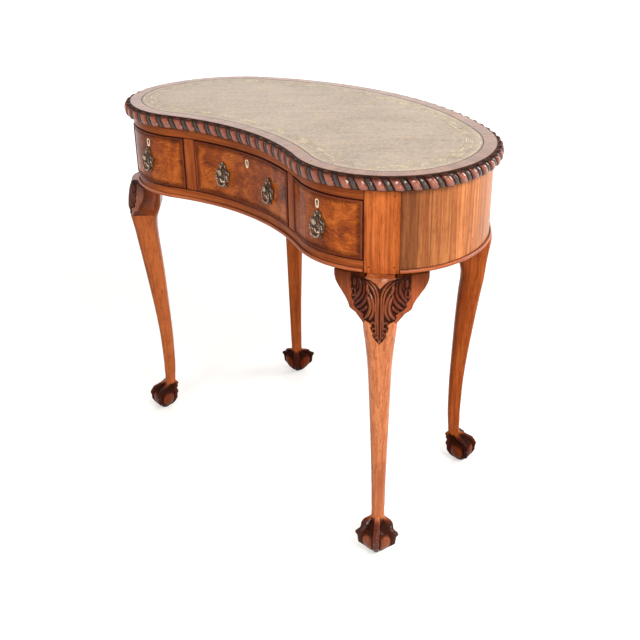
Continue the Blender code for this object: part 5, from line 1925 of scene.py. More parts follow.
class Graph:
    """Short way to add and join the nodes of one tree."""

    def __init__(self, tree: bpy.types.NodeTree) -> None:
        """Work on a tree."""
        self.tree = tree

    def join(self, source: Socket, target: Socket) -> None:
        """Link one socket to another."""
        self.tree.links.new(source, target)

    def feed(self, target: Socket, value: object) -> None:
        """Link a socket, or set its value.

        Args:
            target: The input socket.
            value: Another socket, a value, or None.
        """
        if isinstance(value, Socket):
            self.join(value, target)
        elif value is not None:
            target.default_value = value

    def give(self, node: bpy.types.Node, **inputs: object) -> bpy.types.Node:
        """Feed inputs of a node.

        Args:
            node: The node.
            inputs: Values or sockets by input name, with _ for a space.

        Returns:
            The same node.
        """
        for key, value in inputs.items():
            self.feed(node.inputs[key.replace("_", " ")], value)
        return node

    def node(self, kind: str, settings: dict | None = None, **inputs: object
             ) -> bpy.types.Node:
        """Add a node.

        Args:
            kind: Its type.
            settings: Properties to set on it.
            inputs: Values or sockets by input name, with _ for a space.

        Returns:
            The node.
        """
        made = self.tree.nodes.new(kind)
        for key, value in (settings or {}).items():
            setattr(made, key, value)
        return self.give(made, **inputs)

    def math(self, operation: str, a: object, b: object = None,
             clamp: bool = False) -> Socket:
        """Add a math node.

        Args:
            operation: What it does.
            a: First value.
            b: Second value.
            clamp: Whether the result stays between 0 and 1.

        Returns:
            Its result.
        """
        made = self.node("ShaderNodeMath", {"operation": operation, "use_clamp": clamp})
        self.feed(made.inputs[0], a)
        self.feed(made.inputs[1], b)
        return made.outputs[0]

    def times(self, a: object, b: object, clamp: bool = False) -> Socket:
        """Product of two values."""
        return self.math("MULTIPLY", a, b, clamp)

    def plus(self, a: object, b: object, clamp: bool = False) -> Socket:
        """Sum of two values."""
        return self.math("ADD", a, b, clamp)

    def apart(self, a: object, b: object) -> Socket:
        """How far apart two values are."""
        return self.math("ABSOLUTE", self.math("SUBTRACT", a, b))

    def vector(self, operation: str, a: object, b: object = None) -> Socket:
        """Add a vector math node.

        Args:
            operation: What it does.
            a: First vector.
            b: Second vector.

        Returns:
            Its result.
        """
        made = self.node("ShaderNodeVectorMath", {"operation": operation})
        self.feed(made.inputs[0], a)
        self.feed(made.inputs[1], b)
        return made.outputs[0]

    def length(self, vector: Socket) -> Socket:
        """Length of a vector."""
        made = self.node("ShaderNodeVectorMath", {"operation": "LENGTH"}, Vector=vector)
        return made.outputs["Value"]

    def mix(self, factor: object, a: object, b: object, blend: str = "MIX") -> Socket:
        """Mix two colours.

        Args:
            factor: Share of the second.
            a: First colour.
            b: Second colour.
            blend: How they are mixed.

        Returns:
            The mixed colour.
        """
        made = self.node("ShaderNodeMix", {"data_type": "RGBA", "blend_type": blend})
        self.feed(made.inputs[0], factor)
        self.feed(made.inputs[6], a)
        self.feed(made.inputs[7], b)
        return made.outputs[2]

    def tint(self, colour: object, shares: Colour) -> Socket:
        """Dim a colour by a share for each channel."""
        return self.mix(1.0, colour, rgba(shares), "MULTIPLY")

    def span(self, value: object, low: float, high: float, new_low: float = 0.0,
             new_high: float = 1.0) -> Socket:
        """Map a range of values on another, eased and clamped.

        Args:
            value: What is mapped.
            low: Start of its range.
            high: End of its range.
            new_low: What the start becomes.
            new_high: What the end becomes.

        Returns:
            The mapped value.
        """
        made = self.node("ShaderNodeMapRange", {"interpolation_type": "SMOOTHSTEP"})
        for socket, given in zip(made.inputs, (value, low, high, new_low, new_high)):
            self.feed(socket, given)
        return made.outputs[0]

    def noise(self, vector: object, scale: float, detail: float = 2.0, rough: float = 0.5,
              twist: float = 0.0, colour: bool = False) -> Socket:
        """Noise over a vector.

        Args:
            vector: Where it is read.
            scale: Its scale.
            detail: Its octaves.
            rough: Strength of the fine octaves.
            twist: How far it is distorted.
            colour: Whether it is given as a colour.

        Returns:
            The noise.
        """
        made = self.node("ShaderNodeTexNoise", Vector=vector, Scale=scale, Detail=detail,
                         Roughness=rough, Distortion=twist)
        return made.outputs["Color" if colour else "Fac"]

    def drawn_noise(self, place: object, scales: Triple, detail: float, rough: float,
                    twist: float = 0.0) -> Socket:
        """Noise with a scale of its own for each direction."""
        return self.noise(self.vector("MULTIPLY", place, scales), 1.0, detail, rough, twist)

    def mark(self, name: str, size: int = 1) -> Socket:
        """Value or vector that a mesh carries over its surface."""
        made = self.node("ShaderNodeAttribute", {"attribute_name": name})
        return made.outputs["Vector" if size == 3 else "Fac"]


def start_group(name: str, takes: Sockets, gives: dict[str, str]
                ) -> tuple[bpy.types.NodeTree, Graph, bpy.types.Node, bpy.types.Node]:
    """Start a shader node group.

    Args:
        name: Its name.
        takes: Name, kind and default value of each input.
        gives: Name and kind of each output.

    Returns:
        The tree, its graph, and its input and output nodes.
    """
    tree = bpy.data.node_groups.new(name, "ShaderNodeTree")
    for label, kind, value in takes:
        socket = tree.interface.new_socket(label, in_out="INPUT",
                                           socket_type=f"NodeSocket{kind}")
        if value is not None:
            socket.default_value = value
    for label, kind in gives.items():
        tree.interface.new_socket(label, in_out="OUTPUT", socket_type=f"NodeSocket{kind}")
    graph = Graph(tree)
    return tree, graph, graph.node("NodeGroupInput"), graph.node("NodeGroupOutput")


def straight_figure() -> bpy.types.NodeTree:
    """Group with the straight grain of walnut or oak, built once.

    Returns:
        The group's tree.
    """
    held = bpy.data.node_groups.get("straight_grain")
    if held:
        return held
    tree, g, given, out = start_group(
        "straight_grain",
        (("Place", "Vector", None), ("Light", "Color", (0.5, 0.2, 0.1, 1)),
         ("Dark", "Color", (0.2, 0.05, 0.02, 1)), ("Fineness", "Float", 1.0),
         ("Contrast", "Float", 1.0)),
        {"Colour": "Color", "Height": "Float"})
    place = g.node("ShaderNodeVectorMath", {"operation": "SCALE"}, Vector=given.outputs["Place"],
                   Scale=given.outputs["Fineness"]).outputs[0]
    broad = g.drawn_noise(place, (26.0, 2.2, 26.0), 3.0, 0.55, 0.5)
    streak = g.drawn_noise(place, (260.0, 9.0, 260.0), 5.0, 0.66, 0.25)
    split = g.node("ShaderNodeSeparateXYZ", Vector=place)
    phase = g.plus(g.times(split.outputs[0], 430.0), g.times(broad, 26.0))
    wave = g.math("SINE", phase)
    figure = g.plus(g.times(broad, 0.50), g.times(streak, 0.50))
    figure = g.plus(figure, g.times(wave, 0.030))
    figure = g.times(g.math("SUBTRACT", figure, 0.5), given.outputs["Contrast"])
    share = g.span(g.plus(figure, 0.5), 0.36, 0.64)
    colour = g.mix(share, given.outputs["Dark"], given.outputs["Light"])
    fine = g.drawn_noise(place, (1500.0, 60.0, 1500.0), 2.0, 0.5)
    pores = g.span(fine, 0.42, 0.30)
    flecks = g.drawn_noise(place, (430.0, 46.0, 430.0), 2.0, 0.6)
    flecks = g.span(flecks, 0.42, 0.30)
    dark = g.tint(colour, (0.50, 0.36, 0.28))
    colour = g.mix(g.times(pores, 0.40), colour, dark)
    colour = g.mix(g.times(flecks, 0.70), colour, dark)
    height = g.math("SUBTRACT", g.times(streak, 0.3), g.plus(pores, g.times(flecks, 0.6)))
    g.give(out, Colour=colour, Height=height)
    return tree


def burr_figure() -> bpy.types.NodeTree:
    """Group with the swirls and eyes of burr walnut, built once.

    Returns:
        The group's tree.
    """
    held = bpy.data.node_groups.get("burr_grain")
    if held:
        return held
    tree, g, given, out = start_group(
        "burr_grain",
        (("Place", "Vector", None), ("Light", "Color", (0.5, 0.2, 0.1, 1)),
         ("Middle", "Color", (0.3, 0.1, 0.05, 1)), ("Dark", "Color", (0.2, 0.05, 0.02, 1))),
        {"Colour": "Color", "Height": "Float"})
    place = given.outputs["Place"]
    warp = g.noise(place, 14.0, 3.0, 0.55, 0.0, True)
    warp = g.vector("MULTIPLY", g.vector("SUBTRACT", warp, (0.5, 0.5, 0.5)),
                    (0.070, 0.070, 0.070))
    bent = g.vector("ADD", place, warp)
    cloud = g.noise(bent, 15.0, 5.0, 0.60, 0.8)
    across = g.drawn_noise(bent, (42.0, 330.0, 42.0), 4.0, 0.66, 0.3)
    upright = g.drawn_noise(place, (210.0, 9.0, 210.0), 4.0, 0.6, 0.4)
    region = g.span(g.noise(place, 9.0, 2.0, 0.5, 0.4), 0.30, 0.46)
    streaks = g.node("ShaderNodeMix", {"data_type": "FLOAT"})
    for socket, value in zip(streaks.inputs[:1] + streaks.inputs[2:4], (region, upright, across)):
        g.feed(socket, value)
    tone = g.plus(g.times(cloud, 0.60), g.times(streaks.outputs[0], 0.40))
    low = g.mix(g.span(tone, 0.34, 0.48), given.outputs["Dark"], given.outputs["Middle"])
    colour = g.mix(g.span(tone, 0.46, 0.60), low, given.outputs["Light"])
    swirl = g.noise(g.vector("ADD", bent, (0.31, 0.17, 0.0)), 24.0, 3.0, 0.55, 1.6)
    vein = g.span(g.apart(swirl, 0.5), 0.016, 0.002)
    clusters = g.span(g.noise(place, 17.0, 3.0, 0.55, 1.0), 0.50, 0.64)
    spots = g.node("ShaderNodeTexVoronoi", {"feature": "F1"}, Vector=bent, Scale=46.0)
    eyes = g.span(spots.outputs["Distance"], 0.26, 0.08)
    marks = g.times(clusters, g.math("MAXIMUM", g.times(vein, 0.75), eyes))
    colour = g.mix(g.times(marks, 0.9), colour, given.outputs["Dark"])
    fine = g.drawn_noise(bent, (260.0, 900.0, 260.0), 2.0, 0.6)
    pores = g.times(g.span(fine, 0.46, 0.32), 0.45)
    colour = g.mix(pores, colour, given.outputs["Dark"])
    g.give(out, Colour=colour, Height=g.plus(g.times(tone, 0.4), g.times(fine, 0.15)))
    return tree


def shade_and_patina() -> bpy.types.NodeTree:
    """Group that paints shade and grime into hollows and varies the polish, built once.

    Returns:
        The group's tree.
    """
    held = bpy.data.node_groups.get("shade_and_patina")
    if held:
        return held
    tree, g, given, out = start_group(
        "shade_and_patina",
        (("Colour", "Color", (0.5, 0.2, 0.1, 1)), ("Hollow", "Float", 0.0),
         ("Dirt", "Color", (0.02, 0.008, 0.004, 1)), ("Depth", "Float", 0.9),
         ("Gloss", "Float", 0.3), ("Polish", "Float", 0.1)),
        {"Colour": "Color", "Roughness": "Float", "Coat": "Float"})
    where = g.node("ShaderNodeTexCoord").outputs["Object"]
    patch = g.noise(where, 18.0, 3.0, 0.6, 0.4)
    speck = g.noise(where, 170.0, 3.0, 0.6)
    # Painted shade and grime from the hollow mark, speckled, mix in the darkening colour.
    shade_and_grime_share = g.times(given.outputs["Hollow"], g.plus(0.72, g.times(speck, 0.56)), True)
    colour = g.mix(g.times(shade_and_grime_share, given.outputs["Depth"]), given.outputs["Colour"],
                   given.outputs["Dirt"])
    dull = g.tint(colour, (0.80, 0.74, 0.70))
    colour = g.mix(g.times(g.span(patch, 0.56, 0.36), 0.55), colour, dull)
    rough = g.plus(given.outputs["Gloss"], g.times(g.math("SUBTRACT", patch, 0.5), 0.22))
    rough = g.plus(rough, g.times(shade_and_grime_share, 0.45), True)
    worn = g.math("SUBTRACT", 1.0, g.times(shade_and_grime_share, 0.95), True)
    g.give(out, Colour=colour, Roughness=rough, Coat=g.times(worn, given.outputs["Polish"]))
    return tree


def place_group(graph: Graph, tree: bpy.types.NodeTree, **inputs: object) -> bpy.types.Node:
    """Place a node group in a tree with its own values."""
    return graph.node("ShaderNodeGroup", {"node_tree": tree}, **inputs)


class Place(Enum):
    """Where a board reads its place in the wood."""

    MARKED = "grain mark of the mesh"
    ALONG_X = "object place, grain along X"
    ALONG_Y = "object place, grain along Y"


class Figure(Enum):
    """Figure of a wood finish."""

    STRAIGHT = "straight grain"
    BURR = "burr"


class Work(Enum):
    """What a wood finish adds to its figure."""

    PLAIN = "nothing"
    CARVED = "dark ground in the carving, dark nails"
    # Gadroon: dark reeds, and painted shade in the grooves and on the lobes' flanks.
    GADROON = "dark reeds and grooves"
    BANDED = "joints of a cross-banded border"
    LEAVES = "veneer leaves with fine joints"
    # Edged work paints shade along the edges that meet gaps and other parts.
    EDGED = "dirt along the edges"


# Works whose painted shade and grime also dull the coat.
SHADED_WORKS = (Work.CARVED, Work.GADROON, Work.EDGED)


@dataclass(frozen=True)
class Finish:
    """Finish of the desk, with the name of its material and its slot in the library."""

    name: str
    slot: str

    def lay(self, g: Graph, shader: bpy.types.Node) -> Colour:
        """Add the finish's nodes, which each kind does in its own way."""
        raise NotImplementedError

    def material(self) -> bpy.types.Material:
        """Make the material, once.

        Returns:
            The material.
        """
        made = bpy.data.materials.get(self.name)
        if made is None:
            made = bpy.data.materials.new(self.name)
            made.use_nodes = True
            shader = made.node_tree.nodes["Principled BSDF"]
            made.diffuse_color = rgba(self.lay(Graph(made.node_tree), shader))
        return made


@dataclass(frozen=True)
class WoodFinish(Finish):
    """Polished wood."""

    light: Colour
    dark: Colour
    middle: Colour = (0.3, 0.1, 0.03)
    roughness: float = 0.30
    coat: float = 0.06
    coat_roughness: float = 0.14
    coat_index: float = 1.5
    specular: float = 0.22
    bump: float = 0.10
    fineness: float = 1.0
    contrast: float = 1.0
    figure: Figure = Figure.STRAIGHT
    place: Place = Place.MARKED
    work: Work = Work.PLAIN
    # Colour of the painted shade and grime in hollows, gaps and edges.
    shade_and_grime: Colour = (0.014, 0.005, 0.003)
    carved_tint: Colour = (0.28, 0.15, 0.10)
    nail_tint: Colour = (0.20, 0.16, 0.18)
    reed_tint: Colour = (0.14, 0.22, 0.42)
    leaf_tint: Colour = (0.36, 0.32, 0.30)
    seam_width: Pair = (0.0009, 0.0001)
    seam_dirt: float = 0.6
    joint_line: Pair = (0.493, 0.4975)
    joint_strength: float = 0.5
    edge_shade: Pair = (0.35, 0.95)

    def _place(self, g: Graph) -> Socket:
        """Place in the wood, as the finish says.

        Args:
            g: Graph of the material.

        Returns:
            The place.
        """
        if self.place is Place.MARKED:
            return g.mark("grain", 3)
        where = g.node("ShaderNodeTexCoord").outputs["Object"]
        if self.place is Place.ALONG_Y:
            return where
        parts = g.node("ShaderNodeSeparateXYZ", Vector=where)
        turned = g.node("ShaderNodeCombineXYZ", X=parts.outputs[1], Y=parts.outputs[0],
                        Z=parts.outputs[2])
        return turned.outputs[0]

    def _worked(self, g: Graph, colour: Socket) -> tuple[Socket, object]:
        """Lay the finish's own work on the colour.

        Args:
            g: Graph of the material.
            colour: Colour of the plain wood.

        Returns:
            The colour, and where painted shade and grime darken it.
        """
        # The hollow mark carries painted shade, with grime in the carving; the shade-and-polish
        # group mixes it in.
        if self.work is Work.CARVED:
            ground = g.tint(colour, self.carved_tint)
            colour = g.mix(g.mark("field"), colour, ground)
            nails = g.tint(colour, self.nail_tint)
            return g.mix(g.mark("nail"), colour, nails), g.mark("hollow")
        if self.work is Work.GADROON:
            reeds = g.tint(colour, self.reed_tint)
            colour = g.mix(g.mark("reed"), colour, reeds)
            return colour, g.mark("hollow")
        if self.work is Work.LEAVES:
            darker = g.tint(colour, self.leaf_tint)
            colour = g.mix(g.mark("leaf"), darker, colour)
            return colour, g.times(g.span(g.mark("seam"), *self.seam_width), self.seam_dirt)
        if self.work is Work.EDGED:
            return colour, g.mark("hollow")
        # Banding: dark joint lines between the pieces, and painted shade along the border's
        # edges.
        if self.work is Work.BANDED:
            line = g.span(g.apart(g.mark("joint"), 0.5), *self.joint_line)
            edge = g.span(g.mark("edge"), *self.edge_shade)
            return colour, g.math("MAXIMUM", g.times(line, self.joint_strength), edge)
        return colour, 0.0

    def lay(self, g: Graph, shader: bpy.types.Node) -> Colour:
        """Add the finish's nodes.

        Args:
            g: Graph of the material.
            shader: The material's own shader.

        Returns:
            The plain colour that stands for the finish.
        """
        place = self._place(g)
        if self.figure is Figure.BURR:
            wood = place_group(g, burr_figure(), Place=place, Light=rgba(self.light),
                               Middle=rgba(self.middle), Dark=rgba(self.dark))
        else:
            wood = place_group(g, straight_figure(), Place=place, Light=rgba(self.light),
                               Dark=rgba(self.dark), Fineness=self.fineness,
                               Contrast=self.contrast)
        colour, hollow = self._worked(g, wood.outputs["Colour"])
        aged = place_group(g, shade_and_patina(), Colour=colour, Hollow=hollow, Dirt=rgba(self.shade_and_grime),
                           Gloss=self.roughness, Polish=self.coat)
        bump = g.node("ShaderNodeBump", Height=wood.outputs["Height"], Strength=self.bump,
                      Distance=0.0005)
        g.give(shader, Base_Color=aged.outputs["Colour"], Roughness=aged.outputs["Roughness"],
               Normal=bump.outputs["Normal"], Coat_Roughness=self.coat_roughness,
               Coat_IOR=self.coat_index, Specular_IOR_Level=self.specular,
               Coat_Weight=aged.outputs["Coat"] if self.work in SHADED_WORKS else self.coat)
        return self.light


@dataclass(frozen=True)
class LeatherFinish(Finish):
    """Worn tooled leather."""

    light: Colour
    dark: Colour
    gilt: Colour
    worn: Colour = (0.68, 0.57, 0.45)
    ochre: Colour = (0.56, 0.39, 0.235)
    deep_tint: Colour = (0.56, 0.58, 0.56)
    pressed_tint: Colour = (0.62, 0.60, 0.58)
    edge: Colour = (0.05, 0.035, 0.025)
    roughness: float = 0.50
    specular: float = 0.12
    wear_turn: float = math.radians(-48.0)
    nicks: tuple[Pair, ...] = ((0.0906, -0.1439), (-0.1785, 0.0214))
    nick_shape: Triple = (1.0, 0.32, 0.0)
    nick_fade: Pair = (0.0016, 0.0007)
    line_inset: float = 0.0046
    line_fade: Pair = (0.0012, 0.0005)
    band_inset: float = 0.0235
    band_half: float = 0.0056
    scroll_pitch: float = 0.0125
    scroll_reach: float = 0.55
    stem_fade: Pair = (0.0011, 0.0004)
    petal_reach: float = 0.42
    petal_fade: Pair = (0.0009, 0.0003)
    pressed_fade: Pair = (0.0105, 0.0085)
    rim_fade: Pair = (0.0013, 0.0005)

    def _hide(self, g: Graph, where: Socket) -> tuple[Socket, Socket]:
        """Make the hide's colour.

        Args:
            g: Graph of the material.
            where: Place in the leather.

        Returns:
            The colour with its wear, and the wear itself.
        """
        turned = g.node("ShaderNodeVectorRotate", {"rotation_type": "Z_AXIS"}, Vector=where,
                        Angle=self.wear_turn).outputs[0]
        blotch = g.noise(where, 6.0, 4.0, 0.6, 0.6)
        streak = g.drawn_noise(turned, (9.0, 95.0, 1.0), 5.0, 0.68, 0.6)
        tone = g.plus(g.times(blotch, 0.5), g.times(streak, 0.5))
        colour = g.mix(g.span(tone, 0.26, 0.70), rgba(self.dark), rgba(self.light))
        ochre = g.drawn_noise(turned, (22.0, 70.0, 1.0), 5.0, 0.75, 0.5)
        stained = g.times(g.span(ochre, 0.47, 0.64), 0.45)
        colour = g.mix(stained, colour, rgba(self.ochre))
        wear = g.drawn_noise(turned, (150.0, 330.0, 1.0), 5.0, 0.75)
        rubbed = g.times(g.span(wear, 0.50, 0.64), 0.50)
        colour = g.mix(rubbed, colour, rgba(self.worn))
        deep = g.times(g.span(wear, 0.50, 0.38), 0.65)
        return g.mix(deep, colour, g.tint(colour, self.deep_tint)), wear

    def _nicked(self, g: Graph, where: Socket) -> object:
        """Find where the hide is nicked.

        Args:
            g: Graph of the material.
            where: Place in the leather.

        Returns:
            How far each place is nicked.
        """
        found = 0.0
        for x, y in self.nicks:
            away = g.vector("SUBTRACT", where, (x, y, 0.0))
            far = g.length(g.vector("MULTIPLY", away, self.nick_shape))
            found = g.math("MAXIMUM", found, g.span(far, *self.nick_fade))
        return found

    def _tooled(self, g: Graph, inset: Socket) -> tuple[Socket, Socket]:
        """Draw the gilt lines and scrolls.

        Args:
            g: Graph of the material.
            inset: Distance from the leather's edge.

        Returns:
            The gilding, and the distance from the middle of its band.
        """
        line = g.times(g.span(g.apart(inset, self.line_inset), *self.line_fade), 0.75)
        across = g.math("SUBTRACT", inset, self.band_inset)
        reach = g.math("ABSOLUTE", across)
        rims = g.span(g.apart(reach, self.band_half), *self.line_fade)
        turns = g.times(g.mark("along"), 2 * math.pi / self.scroll_pitch)
        scroll = g.times(g.math("SINE", turns), self.band_half * self.scroll_reach)
        stem = g.span(g.apart(across, scroll), *self.stem_fade)
        petal = g.times(g.math("SINE", g.times(turns, 2.0)), self.band_half * self.petal_reach)
        petal = g.span(g.math("ABSOLUTE", g.plus(across, petal)), *self.petal_fade)
        inside = g.span(reach, self.band_half, self.band_half * 0.85)
        motif = g.times(g.math("MAXIMUM", stem, petal), inside)
        return g.math("MAXIMUM", g.math("MAXIMUM", line, rims), motif), reach

    def lay(self, g: Graph, shader: bpy.types.Node) -> Colour:
        """Add the finish's nodes.

        Args:
            g: Graph of the material.
            shader: The material's own shader.

        Returns:
            The plain colour that stands for the finish.
        """
        where = g.node("ShaderNodeTexCoord").outputs["Object"]
        colour, wear = self._hide(g, where)
        inset = g.mark("inset")
        gilt, reach = self._tooled(g, inset)
        pressed = g.times(g.span(reach, *self.pressed_fade), 0.40)
        colour = g.mix(pressed, colour, g.tint(colour, self.pressed_tint))
        gilt = g.times(gilt, g.span(g.noise(where, 42.0, 4.0, 0.7), 0.42, 0.60))
        colour = g.mix(gilt, colour, rgba(self.gilt))
        rim = g.times(g.span(inset, *self.rim_fade), 0.8)
        colour = g.mix(g.math("MAXIMUM", rim, self._nicked(g, where)), colour, rgba(self.edge))
        grain = g.node("ShaderNodeTexVoronoi", {"feature": "DISTANCE_TO_EDGE"},
                       Vector=where, Scale=900.0)
        pebble = g.span(grain.outputs["Distance"], 0.0, 0.25)
        creases = g.drawn_noise(where, (50.0, 120.0, 1.0), 5.0, 0.7)
        height = g.plus(g.times(pebble, 0.35), creases)
        height = g.math("SUBTRACT", height, g.times(gilt, 0.6))
        bump = g.node("ShaderNodeBump", Height=height, Strength=0.22, Distance=0.0006)
        rough = g.plus(self.roughness - 0.12, g.times(wear, 0.24))
        g.give(shader, Base_Color=colour, Roughness=rough, Normal=bump.outputs["Normal"],
               Specular_IOR_Level=self.specular)
        return self.light


@dataclass(frozen=True)
class MetalFinish(Finish):
    """Old cast metal, bright on its high places and dark in its hollows."""

    bright: Colour
    dull: Colour
    roughness: float = 0.34
    tarnish: float = 0.5
    marked: bool = True

    def lay(self, g: Graph, shader: bpy.types.Node) -> Colour:
        """Add the finish's nodes.

        Args:
            g: Graph of the material.
            shader: The material's own shader.

        Returns:
            The plain colour that stands for the finish.
        """
        where = g.node("ShaderNodeTexCoord").outputs["Object"]
        cloud = g.noise(where, 240.0, 4.0, 0.65, 0.5)
        if self.marked:
            peak = g.times(g.span(g.mark("peak"), 0.45, 0.9), g.span(cloud, 0.36, 0.52))
            dull = g.math("SUBTRACT", 1.0, g.times(peak, 1.25 - self.tarnish * 0.3), True)
        else:
            dull = g.span(cloud, 0.5 + 0.25 * (1 - self.tarnish), 0.30)
        pits = g.noise(where, 900.0, 3.0, 0.6)
        bump = g.node("ShaderNodeBump", Height=g.plus(cloud, pits), Strength=0.18,
                      Distance=0.0004)
        g.give(shader, Base_Color=g.mix(dull, rgba(self.bright), rgba(self.dull)),
               Roughness=g.plus(self.roughness, g.times(dull, 0.25)),
               Metallic=g.span(dull, 0.0, 1.0, 1.0, 0.75), Normal=bump.outputs["Normal"])
        return self.bright


LEG = WoodFinish("leg_walnut", "polished_walnut", (0.76, 0.262, 0.098), (0.49, 0.135, 0.042),
                 work=Work.CARVED, roughness=0.28, specular=0.03, coat=0.4,
                 coat_roughness=0.14, contrast=1.3)
# Darker copy of the front leg walnut: painted shade on the left front leg, which faces away from
# the key light.
SHADED_LEFT_LEG = WoodFinish("left_leg_walnut_shaded", "polished_walnut", (0.55, 0.148, 0.038),
                      (0.34, 0.074, 0.017), work=Work.CARVED, roughness=0.26,
                      specular=0.03, coat=0.16, coat_roughness=0.10, contrast=1.3)
# Darker copy of the leg walnut: painted shade on the rear legs, under the desk.
SHADED_REAR_LEG = WoodFinish("rear_leg_walnut_shaded", "polished_walnut", (0.49, 0.116, 0.022),
                      (0.30, 0.059, 0.009), work=Work.CARVED, roughness=0.26,
                      specular=0.02, coat=0.08, coat_roughness=0.10, contrast=1.3)
# Darker copy of the leg walnut: painted shade on the ear blocks.
SHADED_EAR = WoodFinish("ear_walnut_shaded", "polished_walnut", (0.42, 0.086, 0.012), (0.24, 0.042, 0.005),
                 work=Work.CARVED, roughness=0.26, specular=0.02, coat=0.40,
                 coat_roughness=0.12)
POST = WoodFinish("post_walnut", "polished_walnut", (0.63, 0.166, 0.041),
                  (0.365, 0.081, 0.016), contrast=1.4, specular=0.06, coat=0.03,
                  work=Work.EDGED)
VENEER = WoodFinish("frieze_veneer", "polished_walnut", (0.73, 0.274, 0.093),
                    (0.40, 0.122, 0.036), contrast=1.3, fineness=0.9, work=Work.LEAVES,
                    roughness=0.32, specular=0.09, coat=0.06)
RAIL = WoodFinish("rail_walnut", "polished_walnut", (0.48, 0.122, 0.030),
                  (0.26, 0.055, 0.012), contrast=1.3, specular=0.06, coat=0.03,
                  work=Work.EDGED)
BEAD = WoodFinish("bead_walnut", "polished_walnut", (0.60, 0.170, 0.062),
                  (0.34, 0.075, 0.022), roughness=0.24, specular=0.15, coat=0.10,
                  work=Work.EDGED)
BANDING = WoodFinish("banding_walnut", "polished_walnut", (0.34, 0.158, 0.086),
                     (0.20, 0.083, 0.043), work=Work.BANDED, roughness=0.30, contrast=1.5,
                     specular=0.10, coat=0.02)
BURR = WoodFinish("burr_walnut_face", "burr_walnut", (0.60, 0.147, 0.017),
                  (0.066, 0.012, 0.002), middle=(0.33, 0.059, 0.004), roughness=0.24,
                  figure=Figure.BURR, coat=0.25, specular=0.03, work=Work.EDGED)
GADROON = WoodFinish("gadroon_walnut", "carved_walnut", (0.37, 0.064, 0.005),
                     (0.20, 0.030, 0.003), work=Work.GADROON, roughness=0.24, coat=1.0,
                     coat_roughness=0.18, coat_index=1.8, specular=0.02)
COCKBEAD = WoodFinish("cockbead_walnut", "carved_walnut", (0.27, 0.048, 0.016),
                      (0.15, 0.024, 0.008), roughness=0.22, specular=0.08, coat=0.15,
                      work=Work.EDGED)
PEG = WoodFinish("peg_walnut", "carved_walnut", (0.10, 0.025, 0.010), (0.03, 0.009, 0.004),
                 place=Place.ALONG_Y)
CORE = WoodFinish("drawer_core", "burr_walnut", (0.26, 0.090, 0.030), (0.13, 0.040, 0.014),
                  place=Place.ALONG_X)
OAK = WoodFinish("drawer_oak_across", "drawer_oak", (0.50, 0.32, 0.16), (0.34, 0.20, 0.09),
                 place=Place.ALONG_X, roughness=0.60, coat=0.0, bump=0.25)
OAK_LONG = WoodFinish("drawer_oak_long", "drawer_oak", (0.50, 0.32, 0.16),
                      (0.34, 0.20, 0.09), place=Place.ALONG_Y, roughness=0.60, coat=0.0,
                      bump=0.25)
LEATHER = LeatherFinish("tooled_leather", "olive_leather", (0.530, 0.420, 0.325),
                        (0.310, 0.235, 0.172), (0.86, 0.70, 0.40))
BRONZE = MetalFinish("dark_bronze", "handle_bronze", (1.0, 0.84, 0.62),
                     (0.095, 0.052, 0.032), tarnish=0.70, roughness=0.28)
GILT = MetalFinish("worn_gilt", "handle_bronze", (1.0, 0.86, 0.66), (0.130, 0.070, 0.046),
                   tarnish=0.50, roughness=0.26)
# Near-black plate behind each keyhole: a painted shade for the dark inside of the lock.
KEYHOLE_SHADE = MetalFinish("keyhole_painted_shade", "lock_brass", (0.012, 0.010, 0.009), (0.004, 0.003, 0.003),
                   tarnish=0.9, roughness=0.7, marked=False)
LINER = MetalFinish("liner_brass", "lock_brass", (1.0, 0.93, 0.74), (0.80, 0.68, 0.46),
                    tarnish=0.10, roughness=0.5, marked=False)
LOCK = MetalFinish("lock_brass_work", "lock_brass", (0.66, 0.50, 0.25), (0.30, 0.21, 0.10),
                   tarnish=0.45, marked=False)


@dataclass(frozen=True)
class Lamp:
    """Soft box that looks at the desk, at an azimuth and elevation in degrees."""

    name: str
    azimuth: float
    elevation: float
    distance: float
    size: float
    power: float
    colour: Colour
    in_gloss: bool = True

    def build(self, middle: Vector) -> Piece:
        """Make the lamp.

        Args:
            middle: The point that it looks at.

        Returns:
            The new object.
        """
        light = bpy.data.lights.new(self.name, "AREA")
        light.shape = "SQUARE"
        light.size = self.size
        light.energy = self.power
        light.color = self.colour
        lamp = bpy.data.objects.new(self.name, light)
        a, e = math.radians(self.azimuth), math.radians(self.elevation)
        out = Vector((math.cos(e) * math.cos(a), math.cos(e) * math.sin(a), math.sin(e)))
        lamp.location = middle + out * self.distance
        lamp.rotation_mode = "QUATERNION"
        lamp.rotation_quaternion = out.to_track_quat("Z", "Y")
        lamp.visible_glossy = self.in_gloss
        bpy.context.scene.collection.objects.link(lamp)
        return lamp


def choose_by_ray(graph: Graph, hidden: bpy.types.Node, seen: bpy.types.Node) -> Socket:
    """Mix two shaders by the kind of ray that meets them.

    Args:
        graph: Graph of the material or the world.
        hidden: Shader for rays that only carry light.
        seen: Shader for camera, glossy and transmission rays.

    Returns:
        The mixed shader.
    """
    path = graph.node("ShaderNodeLightPath")
    shown = graph.math("MAXIMUM", path.outputs["Is Camera Ray"], path.outputs["Is Glossy Ray"])
    shown = graph.math("MAXIMUM", shown, path.outputs["Is Transmission Ray"])
    mix = graph.node("ShaderNodeMixShader")
    for socket, source in zip(mix.inputs, (shown, hidden.outputs[0], seen.outputs[0])):
        graph.join(source, socket)
    return mix.outputs[0]


